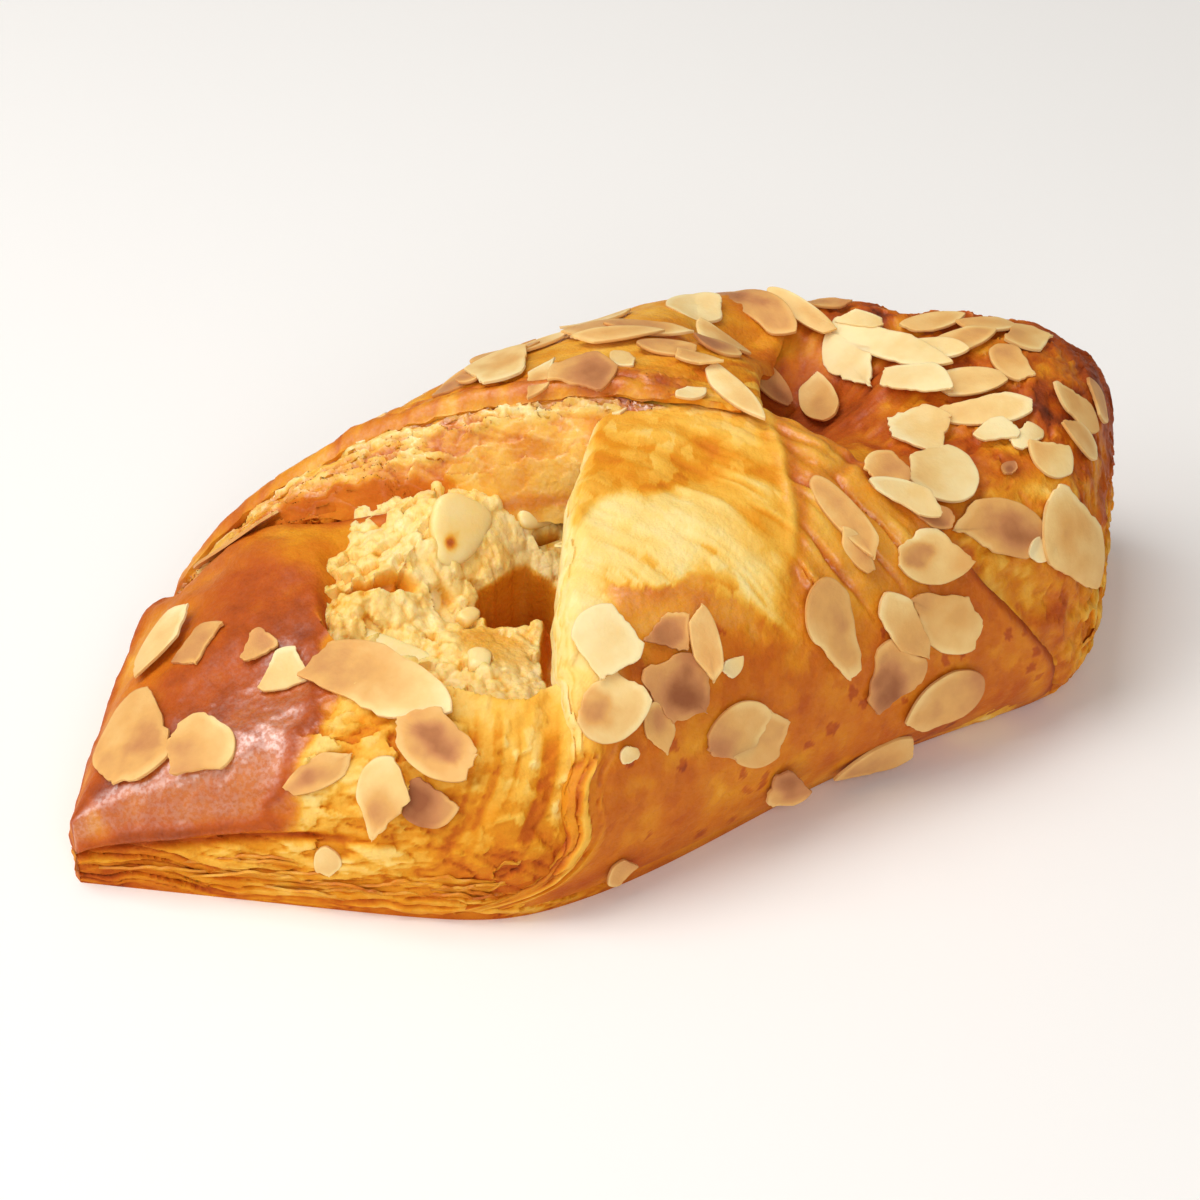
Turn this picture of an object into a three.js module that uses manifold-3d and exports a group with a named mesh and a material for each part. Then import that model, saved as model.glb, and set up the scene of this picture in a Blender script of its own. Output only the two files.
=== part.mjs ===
// An almond danish: a square of laminated dough laid corner to corner. Its front and back corners are
// folded over an almond filling and cross on top, and flaked almonds lie all over the egg-washed crust.
// Millimetres, +Z up. X runs from the left corner to the right corner, the front fold faces -Y.
// The origin is on the surface that the pastry rests on, under the middle of its box.
import * as THREE from "three";
import { mergeVertices } from "three/addons/utils/BufferGeometryUtils.js";
import Module from "manifold-3d";

const { clamp, lerp, smoothstep } = THREE.MathUtils;

// Driving dimensions
const LENGTH = 151.4; // corner to corner
const FRONT_WIDTH = 35; // middle line to the front fold
const BACK_WIDTH = 34.5; // middle line to the back fold
const DOUGH_HEIGHT = 37.5; // the body under the flaps
const FRONT_FLAP = 3.6; // thickness of the front flap
const BACK_FLAP = 5.4; // thickness of the back flap, which lies over the front one
const CUT_EDGE = 9; // height of the laminated cut edge round the two open corners
const WALL = 9; // dough between the filling and the front of the pastry
const BACK_WALL = 16; // dough between the filling and the back
const FLOOR = 7; // dough under the filling
const GAP = 0.4; // clearance between the filling and the dough
const FLAKE_THICKNESS = 1.1; // a flaked almond

const BOXINESS = 3; // exponent of the sections' superellipses: 2 is round, more is squarer
const HALF = LENGTH / 2;
const DEGREE = Math.PI / 180;

const wasm = await Module();
wasm.setup();

// A smooth value along a run of [place, value] pairs, held level past both ends.
function along(pairs) {
  const places = pairs.map((pair) => pair[0]);
  const values = pairs.map((pair) => pair[1]);
  const curve = new THREE.CubicInterpolant(places, values, 1);
  const last = places[places.length - 1];
  return (place) => curve.evaluate(clamp(place, places[0], last))[0];
}

// The smaller of several lengths, rounded over where two of them meet.
function roundedMin(...lengths) {
  const softness = 3;
  const sum = lengths.reduce((total, v) => total + Math.exp(-v / softness), 0);
  return -softness * Math.log(sum);
}

// Evenly spaced values from one number to another, both included.
const steps = (from, to, count) =>
  Array.from({ length: count + 1 }, (_, i) => lerp(from, to, i / count));

// A dent's or bump's share of its full height at a distance from its middle.
const swell = (distance, reach) => Math.exp(-((distance / reach) ** 2));

// A superellipse's height, as a share, at a share of its half width.
const arch = (share) =>
  (1 - Math.min(1, Math.abs(share)) ** BOXINESS) ** (1 / BOXINESS);

// Plan and height of the dough, from the left corner at -HALF to the right corner at HALF
const frontWidth = (x) =>
  roundedMin(FRONT_WIDTH, 0.5 + 0.87 * (x + HALF), 4 + 1.2 * (HALF - x));
const backWidth = (x) =>
  roundedMin(BACK_WIDTH, 1 + 1.4 * (x + HALF), 2 + 0.96 * (HALF - x));
const middleLine = along([
  [-HALF, 2],
  [-20, 0],
  [30, 0],
  [HALF, -4],
]);
const crestHeight = along([
  [-HALF, 9],
  [-70, 12.5],
  [-62, 16.5],
  [-46, 22],
  [-32, 28],
  [-14, 34.5],
  [4, DOUGH_HEIGHT],
  [24, DOUGH_HEIGHT],
  [46, DOUGH_HEIGHT],
  [60, 37],
  [68, 34],
  [73, 29],
  [HALF, 23],
]);

// The foot is drawn in under the sides, more so towards the right corner.
const TUCK_HEIGHT = 11;
const tuckShare = (x) => 0.04 + 0.1 * smoothstep(x, -25, 20);

// Dents and blisters of the crust: place along X, turn round the section, reach in mm and height
const BLISTERS = [
  { x: 31, turn: 100, reach: 9, height: -9 },
  { x: 28, turn: 80, reach: 7, height: -4 },
  { x: 37, turn: 68, reach: 8, height: -2 },
  { x: -60, turn: 70, reach: 8, height: 1.4 },
  { x: -48, turn: 100, reach: 8, height: 1.6 },
  { x: -52, turn: 48, reach: 7, height: 1.2 },
  { x: -37, turn: 124, reach: 7, height: 2.2 },
  { x: -26, turn: 115, reach: 6, height: 2 },
  { x: 56, turn: 80, reach: 10, height: 1 },
  { x: 36, turn: 124, reach: 13, height: 3 },
];

// A point of the dough's skin. The turn is in degrees round the section, 0 at the front foot, 90 on the
// crest and 180 at the back foot, and lift is how far the point stands off the skin.
function skin(x, turn, lift = 0) {
  const c = Math.cos(turn * DEGREE);
  const s = Math.max(0, Math.sin(turn * DEGREE));
  const ray = (Math.abs(c) ** BOXINESS + s ** BOXINESS) ** (-1 / BOXINESS);
  const width = c > 0 ? frontWidth(x) : backWidth(x);
  const height = crestHeight(x);
  const across = -c * ray;
  const up = s * ray;
  const foot = Math.max(0, 1 - (up * height) / TUCK_HEIGHT) ** 2;
  const outward = new THREE.Vector2(
    across * Math.abs(across) ** (BOXINESS - 2) * height,
    up ** (BOXINESS - 1) * width,
  ).normalize();
  let off = lift;
  for (const blister of BLISTERS) {
    const girth = (turn - blister.turn) * DEGREE * width;
    const distance = Math.hypot(x - blister.x, girth);
    off += blister.height * swell(distance, blister.reach) * outward.y;
  }
  return new THREE.Vector3(
    x,
    middleLine(x) +
      across * width * (1 - tuckShare(x) * foot) +
      off * outward.x,
    Math.max(0, up * height + off * outward.y),
  );
}

// A closed loft of equal rings of points, with flat ends.
function loft(rings) {
  const sides = rings[0].length;
  const index = [];
  for (let i = 0; i + 1 < rings.length; i++)
    for (let j = 0; j < sides; j++) {
      const a = i * sides + j;
      const b = i * sides + ((j + 1) % sides);
      index.push(a, b + sides, b, a, a + sides, b + sides);
    }
  const last = (rings.length - 1) * sides;
  for (let j = 1; j + 1 < sides; j++) {
    index.push(0, j, j + 1);
    index.push(last, last + j + 1, last + j);
  }
  const geometry = new THREE.BufferGeometry().setFromPoints(rings.flat());
  geometry.setIndex(index);
  return geometry;
}

// A geometry as a solid that can be joined and cut.
function solid(geometry) {
  const bare = geometry.clone();
  bare.deleteAttribute("normal");
  bare.deleteAttribute("uv");
  const merged = mergeVertices(bare, 1e-4);
  const mesh = new wasm.Mesh({
    numProp: 3,
    vertProperties: new Float32Array(merged.attributes.position.array),
    triVerts: new Uint32Array(merged.index.array),
  });
  return new wasm.Manifold(mesh);
}

// A solid as a named piece with its own material.
function piece(name, made, color, roughness) {
  const mesh = made.getMesh();
  const geometry = new THREE.BufferGeometry();
  geometry.setAttribute(
    "position",
    new THREE.BufferAttribute(mesh.vertProperties, 3),
  );
  geometry.setIndex(new THREE.BufferAttribute(mesh.triVerts, 1));
  geometry.computeVertexNormals();
  const material = new THREE.MeshStandardMaterial({
    color,
    roughness,
    metalness: 0,
  });
  const named = new THREE.Mesh(geometry, material);
  named.name = name;
  return named;
}

// The dough body: sections from corner to corner, grooved along the cut edges of the open corners.
const LAYER = 2.6; // height of one layer that shows in a cut edge
const GROOVE = 0.8; // depth of the grooves between the layers

function bodyGeometry() {
  const rings = steps(-HALF, HALF, 40).map((x) => {
    const openCorner = smoothstep(Math.abs(x), 40, 52);
    return steps(0, 180, 34).map((turn) => {
      const height = skin(x, turn).z;
      const inEdge =
        openCorner * (1 - smoothstep(height, CUT_EDGE - 3, CUT_EDGE));
      const groove = 0.5 - 0.5 * Math.cos((2 * Math.PI * height) / LAYER);
      return skin(x, turn, -GROOVE * inEdge * groove);
    });
  });
  return loft(rings);
}

// The hollow that the folded dough closes round: open at the mouth on the left, blind on the right.
const HOLLOW_LEFT = -41;
const HOLLOW_RIGHT = 52;
const HOLLOW_ROUND = 22; // length over which each end rounds out
const hollowTop = along([
  [HOLLOW_LEFT, 32],
  [-20, 40],
  [-4, 43],
  [6, 38],
  [16, 29],
  [28, 19],
  [40, 21],
  [HOLLOW_RIGHT, 20],
]);

function hollowSection(x) {
  const intoEnd = Math.max(
    0,
    HOLLOW_LEFT + HOLLOW_ROUND - x,
    x - HOLLOW_RIGHT + HOLLOW_ROUND,
  );
  const rounding = Math.sqrt(
    Math.max(0.02, 1 - (intoEnd / HOLLOW_ROUND) ** 2),
  );
  const front = middleLine(x) - (frontWidth(x) - WALL) * rounding;
  const back = middleLine(x) + (backWidth(x) - BACK_WALL) * rounding;
  return {
    middle: (front + back) / 2,
    half: (back - front) / 2,
    waist: (hollowTop(x) + FLOOR) / 2,
    rise: (hollowTop(x) - FLOOR) / 2,
  };
}

function hollowGeometry() {
  const rings = steps(HOLLOW_LEFT, HOLLOW_RIGHT, 30).map((x) => {
    const section = hollowSection(x);
    return steps(0, 360, 18)
      .slice(0, -1)
      .map((turn) => {
        const c = Math.cos(turn * DEGREE);
        const s = Math.sin(turn * DEGREE);
        const across = Math.sign(c) * Math.abs(c) ** (2 / BOXINESS);
        const up = Math.sign(s) * Math.abs(s) ** (2 / BOXINESS);
        return new THREE.Vector3(
          x,
          section.middle - across * section.half,
          section.waist + up * section.rise,
        );
      });
  });
  return loft(rings);
}

// The filling: it rises to the back of the mouth, is blown hollow beside the front flap's edge, and is
// full to the roof beyond.
const FILL_LEVEL = 20.5;
const BANK = 8; // how much higher it stands along the back of the mouth
const ROOF = 4; // least dough over the filling under the flaps
const LUMPS = [
  { x: -30, y: 1, reach: 7, height: 2 },
  { x: -27, y: -10, reach: 6, height: 1.5 },
  { x: -23, y: 12, reach: 7, height: 2 },
  { x: -11, y: 12, reach: 8, height: 2 },
  { x: -15, y: -2, reach: 5.5, height: -13 },
];

function fillingTop(x, y) {
  let top = FILL_LEVEL;
  for (const lump of LUMPS)
    top += lump.height * swell(Math.hypot(x - lump.x, y - lump.y), lump.reach);
  top += BANK * smoothstep(y, -2, 9);
  top += 0.5 * Math.sin(1.9 * x + 0.7 * y) * Math.sin(1.7 * y - 0.5 * x);
  const width = y < middleLine(x) ? frontWidth(x) : backWidth(x);
  const under = crestHeight(x) * arch((y - middleLine(x)) / width) - ROOF;
  return lerp(Math.min(top, under), under, smoothstep(x, 2, 14));
}

function fillingGeometry() {
  const lip = 1.5; // least height of the filling's side
  const least = 0.6; // least thickness of the filling
  const rings = steps(HOLLOW_LEFT + 3, HOLLOW_RIGHT - 3, 34).map((x) => {
    const { middle, half, waist, rise } = hollowSection(x);
    const bulge = (y) => rise * arch((y - middle) / (half - GAP)) - GAP;
    const sunk = (waist - fillingTop(x, middle) + lip) / rise;
    const reach = half * arch(clamp(sunk, 0, 0.98)) - 2 * GAP;
    const upper = steps(middle - reach, middle + reach, 18).map((y) => {
      const top = Math.min(fillingTop(x, y), waist + bulge(y));
      return new THREE.Vector3(x, y, Math.max(top, waist - bulge(y) + least));
    });
    const lower = steps(middle + reach, middle - reach, 8).map(
      (y) => new THREE.Vector3(x, y, waist - bulge(y)),
    );
    return [...upper, ...lower];
  });
  return loft(rings);
}

// The two flaps: each runs from its fold at the foot to its tip past the crest, between two cut edges.
// Its thickness is given along the turn, and the back flap fades into the right corner near its fold.
const frontFlap = {
  fold: 4,
  tip: 104,
  left: along([
    [0, -46],
    [5, -40],
    [10, -34.5],
    [17, -30.5],
    [30, -28],
    [42, -25.5],
    [52, -24],
    [68, -17],
    [90, -5],
    [104, 5],
  ]),
  right: along([
    [0, 47],
    [14, 45],
    [36, 34],
    [58, 27],
    [74, 21],
    [90, 16],
    [104, 12],
  ]),
  thickness: along([
    [4, 0.3],
    [29, 0.6 * FRONT_FLAP],
    [64, FRONT_FLAP],
    [104, FRONT_FLAP],
  ]),
  fade: (x, turn) => smoothstep(frontFlap.right(turn) - x, 0, 4),
};

const backFlap = {
  fold: 176,
  tip: 78,
  left: along([
    [78, 13],
    [101, -2],
    [134, -27],
    [151, -42],
    [180, -44],
  ]),
  right: along([
    [78, 16],
    [92, 22],
    [106, 30],
    [120, 39],
    [150, 43],
    [180, 43],
  ]),
  thickness: along([
    [78, FRONT_FLAP + 0.5],
    [86, 1.2 * FRONT_FLAP],
    [96, 1.1 * BACK_FLAP],
    [107, BACK_FLAP],
    [151, 0.7 * BACK_FLAP],
    [176, 0.3],
  ]),
  fade: (x, turn) =>
    Math.max(
      smoothstep(backFlap.right(turn) - x, 0, 22),
      1 - smoothstep(turn, 100, 118),
    ),
};

// How far a flap's outer face stands off the dough at a place, or 0 away from the flap.
function flapLift(flap, x, turn) {
  const inTurn = (turn - flap.fold) * (turn - flap.tip) <= 0;
  const inside = inTurn && x >= flap.left(turn) && x <= flap.right(turn);
  return inside ? flap.thickness(turn) * flap.fade(x, turn) : 0;
}

const coverLift = (x, turn) =>
  Math.max(flapLift(frontFlap, x, turn), flapLift(backFlap, x, turn));

// A flap's sheet of dough, with the layers of its cut edges stepped in and out.
function flapGeometry(flap) {
  const sunk = 1.5; // how far the underside is set into the body
  const layers = 4;
  const stepIn = 0.8;
  const geometry = new THREE.BoxGeometry(1, 1, 1, 14, 17, layers);
  const position = geometry.attributes.position;
  const flip = flap.fold > flap.tip ? -1 : 1;
  for (let i = 0; i < position.count; i++) {
    const side = flip * position.getX(i) + 0.5;
    const turn = lerp(flap.fold, flap.tip, position.getY(i) + 0.5);
    const level = position.getZ(i) + 0.5;
    const atEdge = Math.abs(side - 0.5) > 0.49 ? Math.sign(0.5 - side) : 0;
    const inset = Math.round(level * layers) % 2 ? stepIn * atEdge : 0;
    const x = lerp(flap.left(turn), flap.right(turn), side);
    const top = Math.max(0.2, flap.thickness(turn) * flap.fade(x, turn));
    const lift = lerp(-sunk, top, level);
    position.setXYZ(i, ...skin(x + inset, turn, lift).toArray());
  }
  return geometry;
}

// A flaked almond: a thin slice with an almond's outline, pointed at one end and rounded at the other.
function flakeGeometry(length, width) {
  const outline = steps(0, 2 * Math.PI, 9)
    .slice(0, -1)
    .map(
      (a) =>
        new THREE.Vector2(
          (Math.cos(a) * length) / 2,
          ((Math.sin(a) * width) / 2) * (1 - 0.25 * Math.cos(a)),
        ),
    );
  const geometry = new THREE.ExtrudeGeometry(new THREE.Shape(outline), {
    depth: FLAKE_THICKNESS,
    bevelEnabled: false,
  });
  return geometry.translate(0, 0, -FLAKE_THICKNESS / 2);
}

// Lays a flake on the crust at a place, its length turned by spin from the X direction.
function layFlake(x, turn, length, width, spin) {
  const step = 2;
  const at = (dx, dTurn) =>
    skin(x + dx, turn + dTurn, coverLift(x, turn) + 0.15);
  const alongX = at(step, 0).sub(at(-step, 0)).normalize();
  const round = at(0, step).sub(at(0, -step));
  const outward = alongX.clone().cross(round).normalize();
  const place = new THREE.Matrix4()
    .makeBasis(alongX, outward.clone().cross(alongX), outward)
    .setPosition(at(0, 0));
  return flakeGeometry(length, width)
    .rotateZ(spin * DEGREE)
    .applyMatrix4(place);
}

// Flakes that show from the front: place along X, turn round the section, length, width and spin
const FLAKES = [
  [-55.9, 122, 14.5, 6.4, 168],
  [-53.4, 109.5, 8.5, 6.8, -12],
  [-66, 99, 13, 13.8, 133],
  [-61.4, 71.5, 9.6, 8.8, -145],
  [-48.8, 96, 5.2, 4.6, -170],
  [-48.2, 85.5, 7.6, 5.2, -172],
  [-40.8, 68.5, 23, 9.4, -46],
  [-51.4, 48.7, 10.5, 3.4, -159],
  [-46.3, 39.7, 11, 6.2, -116],
  [-39.2, 49.5, 11.6, 7.8, 134],
  [-42, 37.6, 6.8, 5.6, -13],
  [-18.9, 49.7, 9.2, 8.2, -119],
  [-21, 41.3, 9.2, 7.6, -18],
  [-11.2, 46.8, 7.2, 5.5, -179],
  [-7.9, 42.6, 10.6, 3.2, -100],
  [-12.3, 38.4, 11.2, 7.8, -56],
  [-5.9, 26.7, 10, 7.6, -178],
  [1.6, 11.5, 6.4, 6, -125],
  [17, 7, 12.5, 4.6, 190],
  [9.6, 36.4, 13.8, 6.8, -82],
  [19.2, 32.7, 11.2, 5.5, -70],
  [25.7, 32.4, 12.2, 7.4, 147],
  [17.2, 25.6, 10.2, 8.1, -119],
  [24.8, 16.5, 12, 7.3, -163],
  [25.7, 42.2, 11.2, 6.4, -18],
  [36.5, 42.9, 13.4, 7.5, 161],
  [47.6, 36.6, 15.5, 10.2, 92],
  [49.2, 52, 7.2, 5.6, 108],
  [46, 66.6, 13, 4.8, -31],
  [46.7, 74.7, 10.4, 4.6, -33],
  [36.8, 69, 9.2, 8.6, -14],
  [33.4, 56.3, 9.8, 9.6, 165],
  [24.6, 57, 6.2, 5.6, 161],
  [25.3, 51.7, 10.4, 3.6, 141],
  [16.4, 51.5, 13, 3.4, -76],
  [33.4, 97, 11, 4.4, 68],
  [43.7, 95, 18, 6, -69],
  [39.2, 98.5, 13, 7, -99],
  [41, 81, 10.9, 7.6, -64],
  [51.2, 101, 9.5, 4, 6],
  [51.1, 87.5, 9.9, 4.7, -7],
  [53.6, 72.6, 7.8, 5, -86],
  [59.5, 81.5, 9.2, 6.7, 169],
  [58, 55, 9.4, 4.6, 114],
  [55.4, 50, 8.6, 3.8, 115],
  [-5.7, 117.6, 12, 9, -160],
  [-2, 128, 9, 4.5, -10],
  [1, 124, 12, 4, -5],
  [-0.3, 102, 8.6, 9.6, -24],
  [12, 124, 10, 4.5, -8],
  [9.4, 118, 11.3, 5, -37],
  [14, 111.5, 11.4, 4.4, -39],
  [8.9, 111, 11.8, 3.3, -32],
  [25.4, 119.5, 8.3, 7, -14],
  [33.5, 119, 16, 5.5, -80],
  [14.2, 82.5, 13, 3, -91],
];

// Flakes on the far side, in rows that fill its length, each drawn a little off its row
const FAR_ROWS = [140, 156];
const FAR_SPACING = 19;
const drawn = (row, kind) => {
  const spread = Math.sin(12.9898 * row + 78.233 * kind) * 437.585;
  return spread - Math.floor(spread);
};
let far = 0;
for (const turn of FAR_ROWS)
  for (let x = -36 + turn - FAR_ROWS[0]; x < 54; x += FAR_SPACING) {
    far += 1;
    FLAKES.push([
      x + lerp(-3, 3, drawn(far, 1)),
      turn + lerp(-5, 5, drawn(far, 2)),
      lerp(10, 16, drawn(far, 3)),
      lerp(6, 9, drawn(far, 4)),
      lerp(-60, 60, drawn(far, 5)),
    ]);
  }

// A piece of almond that lies on the slope of the filling, in the mouth
const ALMOND_BIT = { x: -19.6, y: 6.2, length: 9.4, width: 7, spin: 58, tilt: 36 };

const dough = solid(bodyGeometry())
  .subtract(solid(hollowGeometry()))
  .add(solid(flapGeometry(frontFlap)))
  .add(solid(flapGeometry(backFlap)));
const pastry = FLAKES.reduce(
  (made, flake) => made.add(solid(layFlake(...flake))),
  dough,
);

const almondBit = flakeGeometry(ALMOND_BIT.length, ALMOND_BIT.width)
  .rotateZ(ALMOND_BIT.spin * DEGREE)
  .rotateX(ALMOND_BIT.tilt * DEGREE)
  .translate(
    ALMOND_BIT.x,
    ALMOND_BIT.y,
    fillingTop(ALMOND_BIT.x, ALMOND_BIT.y),
  );
const filling = solid(fillingGeometry()).add(solid(almondBit));

const danish = new THREE.Group();
danish.name = "almond_danish";
danish.add(piece("pastry", pastry, 0xd08a3c, 0.5));
danish.add(piece("almond_filling", filling, 0xf0dc98, 0.85));

export default danish;
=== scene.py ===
import math
import bpy
import numpy as np
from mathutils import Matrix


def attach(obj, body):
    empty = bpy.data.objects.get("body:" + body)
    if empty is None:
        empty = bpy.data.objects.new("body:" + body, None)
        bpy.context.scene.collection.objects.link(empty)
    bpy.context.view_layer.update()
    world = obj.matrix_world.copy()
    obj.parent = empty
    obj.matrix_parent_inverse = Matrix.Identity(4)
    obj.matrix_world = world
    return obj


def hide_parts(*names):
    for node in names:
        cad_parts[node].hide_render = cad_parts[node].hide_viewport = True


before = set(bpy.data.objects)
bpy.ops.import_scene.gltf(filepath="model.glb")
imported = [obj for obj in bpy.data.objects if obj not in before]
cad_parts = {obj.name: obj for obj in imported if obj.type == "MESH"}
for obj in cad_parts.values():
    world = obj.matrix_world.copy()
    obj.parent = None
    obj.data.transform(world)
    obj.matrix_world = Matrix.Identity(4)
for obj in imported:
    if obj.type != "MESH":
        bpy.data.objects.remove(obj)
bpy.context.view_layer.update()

# The dough body is one square of laminated yeast dough, laid corner to corner and drawn up round the filling.
# It is egg-washed, proved and baked: the left corner lies flat and dark, the right one puffs up, and the open
# mouth sinks to the filling between them. Sizes here and below are in millimetres, as a baker would measure.
HALF = 75.7  # half the length from corner to corner
FRONT_WIDTH, BACK_WIDTH = 35.0, 34.5
BOXINESS = 3.0  # exponent of the sections' superellipses
GIRTH = 0.62  # millimetres round the section for each degree of turn
MOUTH_LEFT, MOUTH_RIGHT, MOUTH_ROUND = -41.0, 52.0, 22.0
FRONT_WALL, BACK_WALL = 9.0, 16.0


def along(*pairs):
    # A smooth value along a run of (place, value) pairs, held level past both ends.
    place, value = np.array(pairs, float).T
    slope = np.gradient(value, place)

    def at(x):
        x = np.clip(x, place[0], place[-1])
        i = np.clip(np.searchsorted(place, x) - 1, 0, len(place) - 2)
        run = place[i + 1] - place[i]
        t = (x - place[i]) / run
        rise = t * t * (3 - 2 * t)
        bow = run * t * (1 - t) * (slope[i] * (1 - t) - slope[i + 1] * t)
        return value[i] * (1 - rise) + value[i + 1] * rise + bow

    return at


def step(x, start, end):
    # A smooth rise from 0 at start to 1 at end.
    t = np.clip((x - start) / (end - start), 0, 1)
    return t * t * (3 - 2 * t)


def swell(distance, reach):
    # 1 at no distance, fading to 0 well past the reach.
    return np.exp(-((distance / reach) ** 2))


def chance(cells, seed):
    # A fixed random share from 0 to 1 for each cell of a grid.
    code = cells @ np.array([73856093, 19349663, 83492791])[: cells.shape[1]] + 8191 * seed
    code = (((code & 0x7FFFFFFF) ^ (code >> 13)) * 1274126177) & 0x7FFFFFFF
    code = ((code ^ (code >> 15)) * 668265263) & 0x7FFFFFFF
    return code / 0x7FFFFFFF


def uneven(points, size, seed=0):
    # Smooth random unevenness between -1 and 1 in lumps of the given size.
    place = points / size + 0.37
    cell = np.floor(place).astype(np.int64)
    part = place - cell
    part = part * part * part * (part * (part * 6 - 15) + 10)
    total = np.zeros(len(points))
    for corner in np.ndindex(2, 2, 2):
        total += np.prod(np.where(corner, part, 1 - part), axis=1) * chance(cell + corner, seed)
    return 2 * total - 1


def grains(across, along_it, size, seed):
    # Scattered grains: how near the nearest and the next one are, in grain sizes, and the nearest one's own share.
    place = np.stack([across, along_it], -1) / size
    base = np.floor(place).astype(np.int64)
    first, second, own = np.full(len(place), 9.0), np.full(len(place), 9.0), np.zeros(len(place))
    for near in np.ndindex(3, 3):
        cell = base + near - 1
        centre = cell + np.stack([chance(cell, seed), chance(cell, seed + 1)], -1)
        gap = np.hypot(*(place - centre).T)
        closer = gap < first
        second = np.where(closer, first, np.minimum(second, gap))
        own = np.where(closer, chance(cell, seed + 2), own)
        first = np.where(closer, gap, first)
    return first, second, own


def lumps(points, sizes=(13, 5.5, 2.4, 1.1)):
    # Unevenness of the dough from big lumps to fine ones.
    return [uneven(points, size, k) for k, size in enumerate(sizes)]


def flat_place(across, along_it):
    # Places on a skin that is spread out flat.
    return np.stack([across, along_it, 0 * across], -1)


def torn(across, along_it, size, seed, ragged=0.3):
    # Torn skins that overlap: how far each one stands out, from 0 to 1, and 1 on its ragged edge.
    place = flat_place(across, along_it) / size
    across = across + ragged * size * (uneven(place, 0.9, seed) + 0.6 * uneven(place, 0.35, seed + 1))
    along_it = along_it + ragged * size * (uneven(place, 0.9, seed + 2) + 0.6 * uneven(place, 0.35, seed + 3))
    near, following, own = grains(across, along_it, size, seed + 4)
    return own, step(following - near, 0.22, 0.0)


def mixed(value, share, other):
    # A value moved towards another by a share from 0 to 1.
    return value + np.clip(share, 0, 1) * (other - value)


def tinted(bake, *zones):
    # How far the dough is baked, or darkened as painted shade, with zones laid over it in turn, each with a share
    # and its own value.
    for share, zone_bake in zones:
        bake = mixed(bake, share, zone_bake)
    return bake


def rounded_min(*lengths):
    # The least of some lengths, with rounded corners where one takes over from another.
    return -3 * np.log(sum(np.exp(-length / 3) for length in lengths))


def front_width(x):
    return rounded_min(FRONT_WIDTH, 0.5 + 0.87 * (x + HALF), 4 + 1.2 * (HALF - x))


def back_width(x):
    return rounded_min(BACK_WIDTH, 1 + 1.4 * (x + HALF), 2 + 0.96 * (HALF - x))


middle_line = along((-HALF, 2), (-20, 0), (30, 0), (HALF, -4))
crest = along(
    (-HALF, 9), (-70, 12.5), (-62, 16.5), (-46, 22), (-32, 28), (-14, 34.5), (4, 37.5),
    (24, 37.5), (46, 37.5), (60, 37), (68, 34), (73, 29), (HALF, 23),
)
BLISTERS = [  # place along X, turn round the section, reach, height
    (31, 100, 9, -9), (28, 80, 7, -4), (37, 68, 8, -2), (-60, 70, 8, 1.4), (-48, 100, 8, 1.6),
    (-52, 48, 7, 1.2), (-37, 124, 7, 2.2), (-26, 115, 6, 2), (56, 80, 10, 1), (36, 124, 13, 3),
]


def skin(x, turn, lift=0.0):
    # Points of the dough's skin: the turn is 0 at the front foot, 90 on the crest and 180 at the back foot.
    x, turn, lift = np.broadcast_arrays(np.asarray(x, float), turn, lift)
    c, s = np.cos(np.radians(turn)), np.maximum(0, np.sin(np.radians(turn)))
    ray = (np.abs(c) ** BOXINESS + s ** BOXINESS) ** (-1 / BOXINESS)
    width = np.where(c > 0, front_width(x), back_width(x))
    height = crest(x)
    over, up = -c * ray, s * ray
    foot = np.maximum(0, 1 - up * height / 11) ** 2 * (0.04 + 0.1 * step(x, -25, 20))
    out_y, out_z = over * np.abs(over) * height, up * up * width
    size = np.hypot(out_y, out_z)
    out_y, out_z = out_y / size, out_z / size
    off = lift.copy()
    round_by = np.radians(1) * (front_width(x) + back_width(x)) / 2
    for bx, bturn, reach, rise in BLISTERS:
        off = off + rise * out_z * swell(np.hypot(x - bx, (turn - bturn) * round_by), reach)
    y = middle_line(x) + over * width * (1 - foot) + off * out_y
    return np.stack([x, y, np.maximum(0, up * height + off * out_z)], -1)


def mouth(x):
    # The middle and half width of the hollow that the dough is drawn up round.
    into = np.maximum(0, np.maximum(MOUTH_LEFT + MOUTH_ROUND - x, x - MOUTH_RIGHT + MOUTH_ROUND))
    rounding = np.sqrt(np.maximum(0, 1 - (into / MOUTH_ROUND) ** 2))
    front = middle_line(x) - (front_width(x) - FRONT_WALL) * rounding
    back = middle_line(x) + (back_width(x) - BACK_WALL) * rounding
    return (front + back) / 2, (back - front) / 2


def places_of(piece):
    # The places of a piece's points, as it was added.
    places = np.empty(3 * len(piece.data.vertices))
    piece.data.vertices.foreach_get("co", places)
    return places.reshape(-1, 3)


def sheet_of(name, columns, rows):
    # A flat sheet of small squares to be laid out, with its own two measures from 0 to 1.
    bpy.ops.object.select_all(action="DESELECT")
    bpy.ops.mesh.primitive_grid_add(x_subdivisions=columns, y_subdivisions=rows, size=2)
    sheet = bpy.context.object
    sheet.name = sheet.data.name = name
    measures = (places_of(sheet) + 1) / 2
    return sheet, measures[:, 0], measures[:, 1]


def lay(piece, points, **marks):
    # Lays a piece's points where they go and keeps marks of its baking, with painted shade and highlight in places,
    # from 0 to 1, for the material.
    piece.data.vertices.foreach_set("co", (points / 1000).ravel())
    for mark, values in marks.items():
        layer = piece.data.attributes.new(mark, "FLOAT", "POINT")
        shares = np.broadcast_to(np.clip(values, 0, 1), len(points))
        layer.data.foreach_set("value", shares.astype(np.float32))
    piece.data.update()


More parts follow.
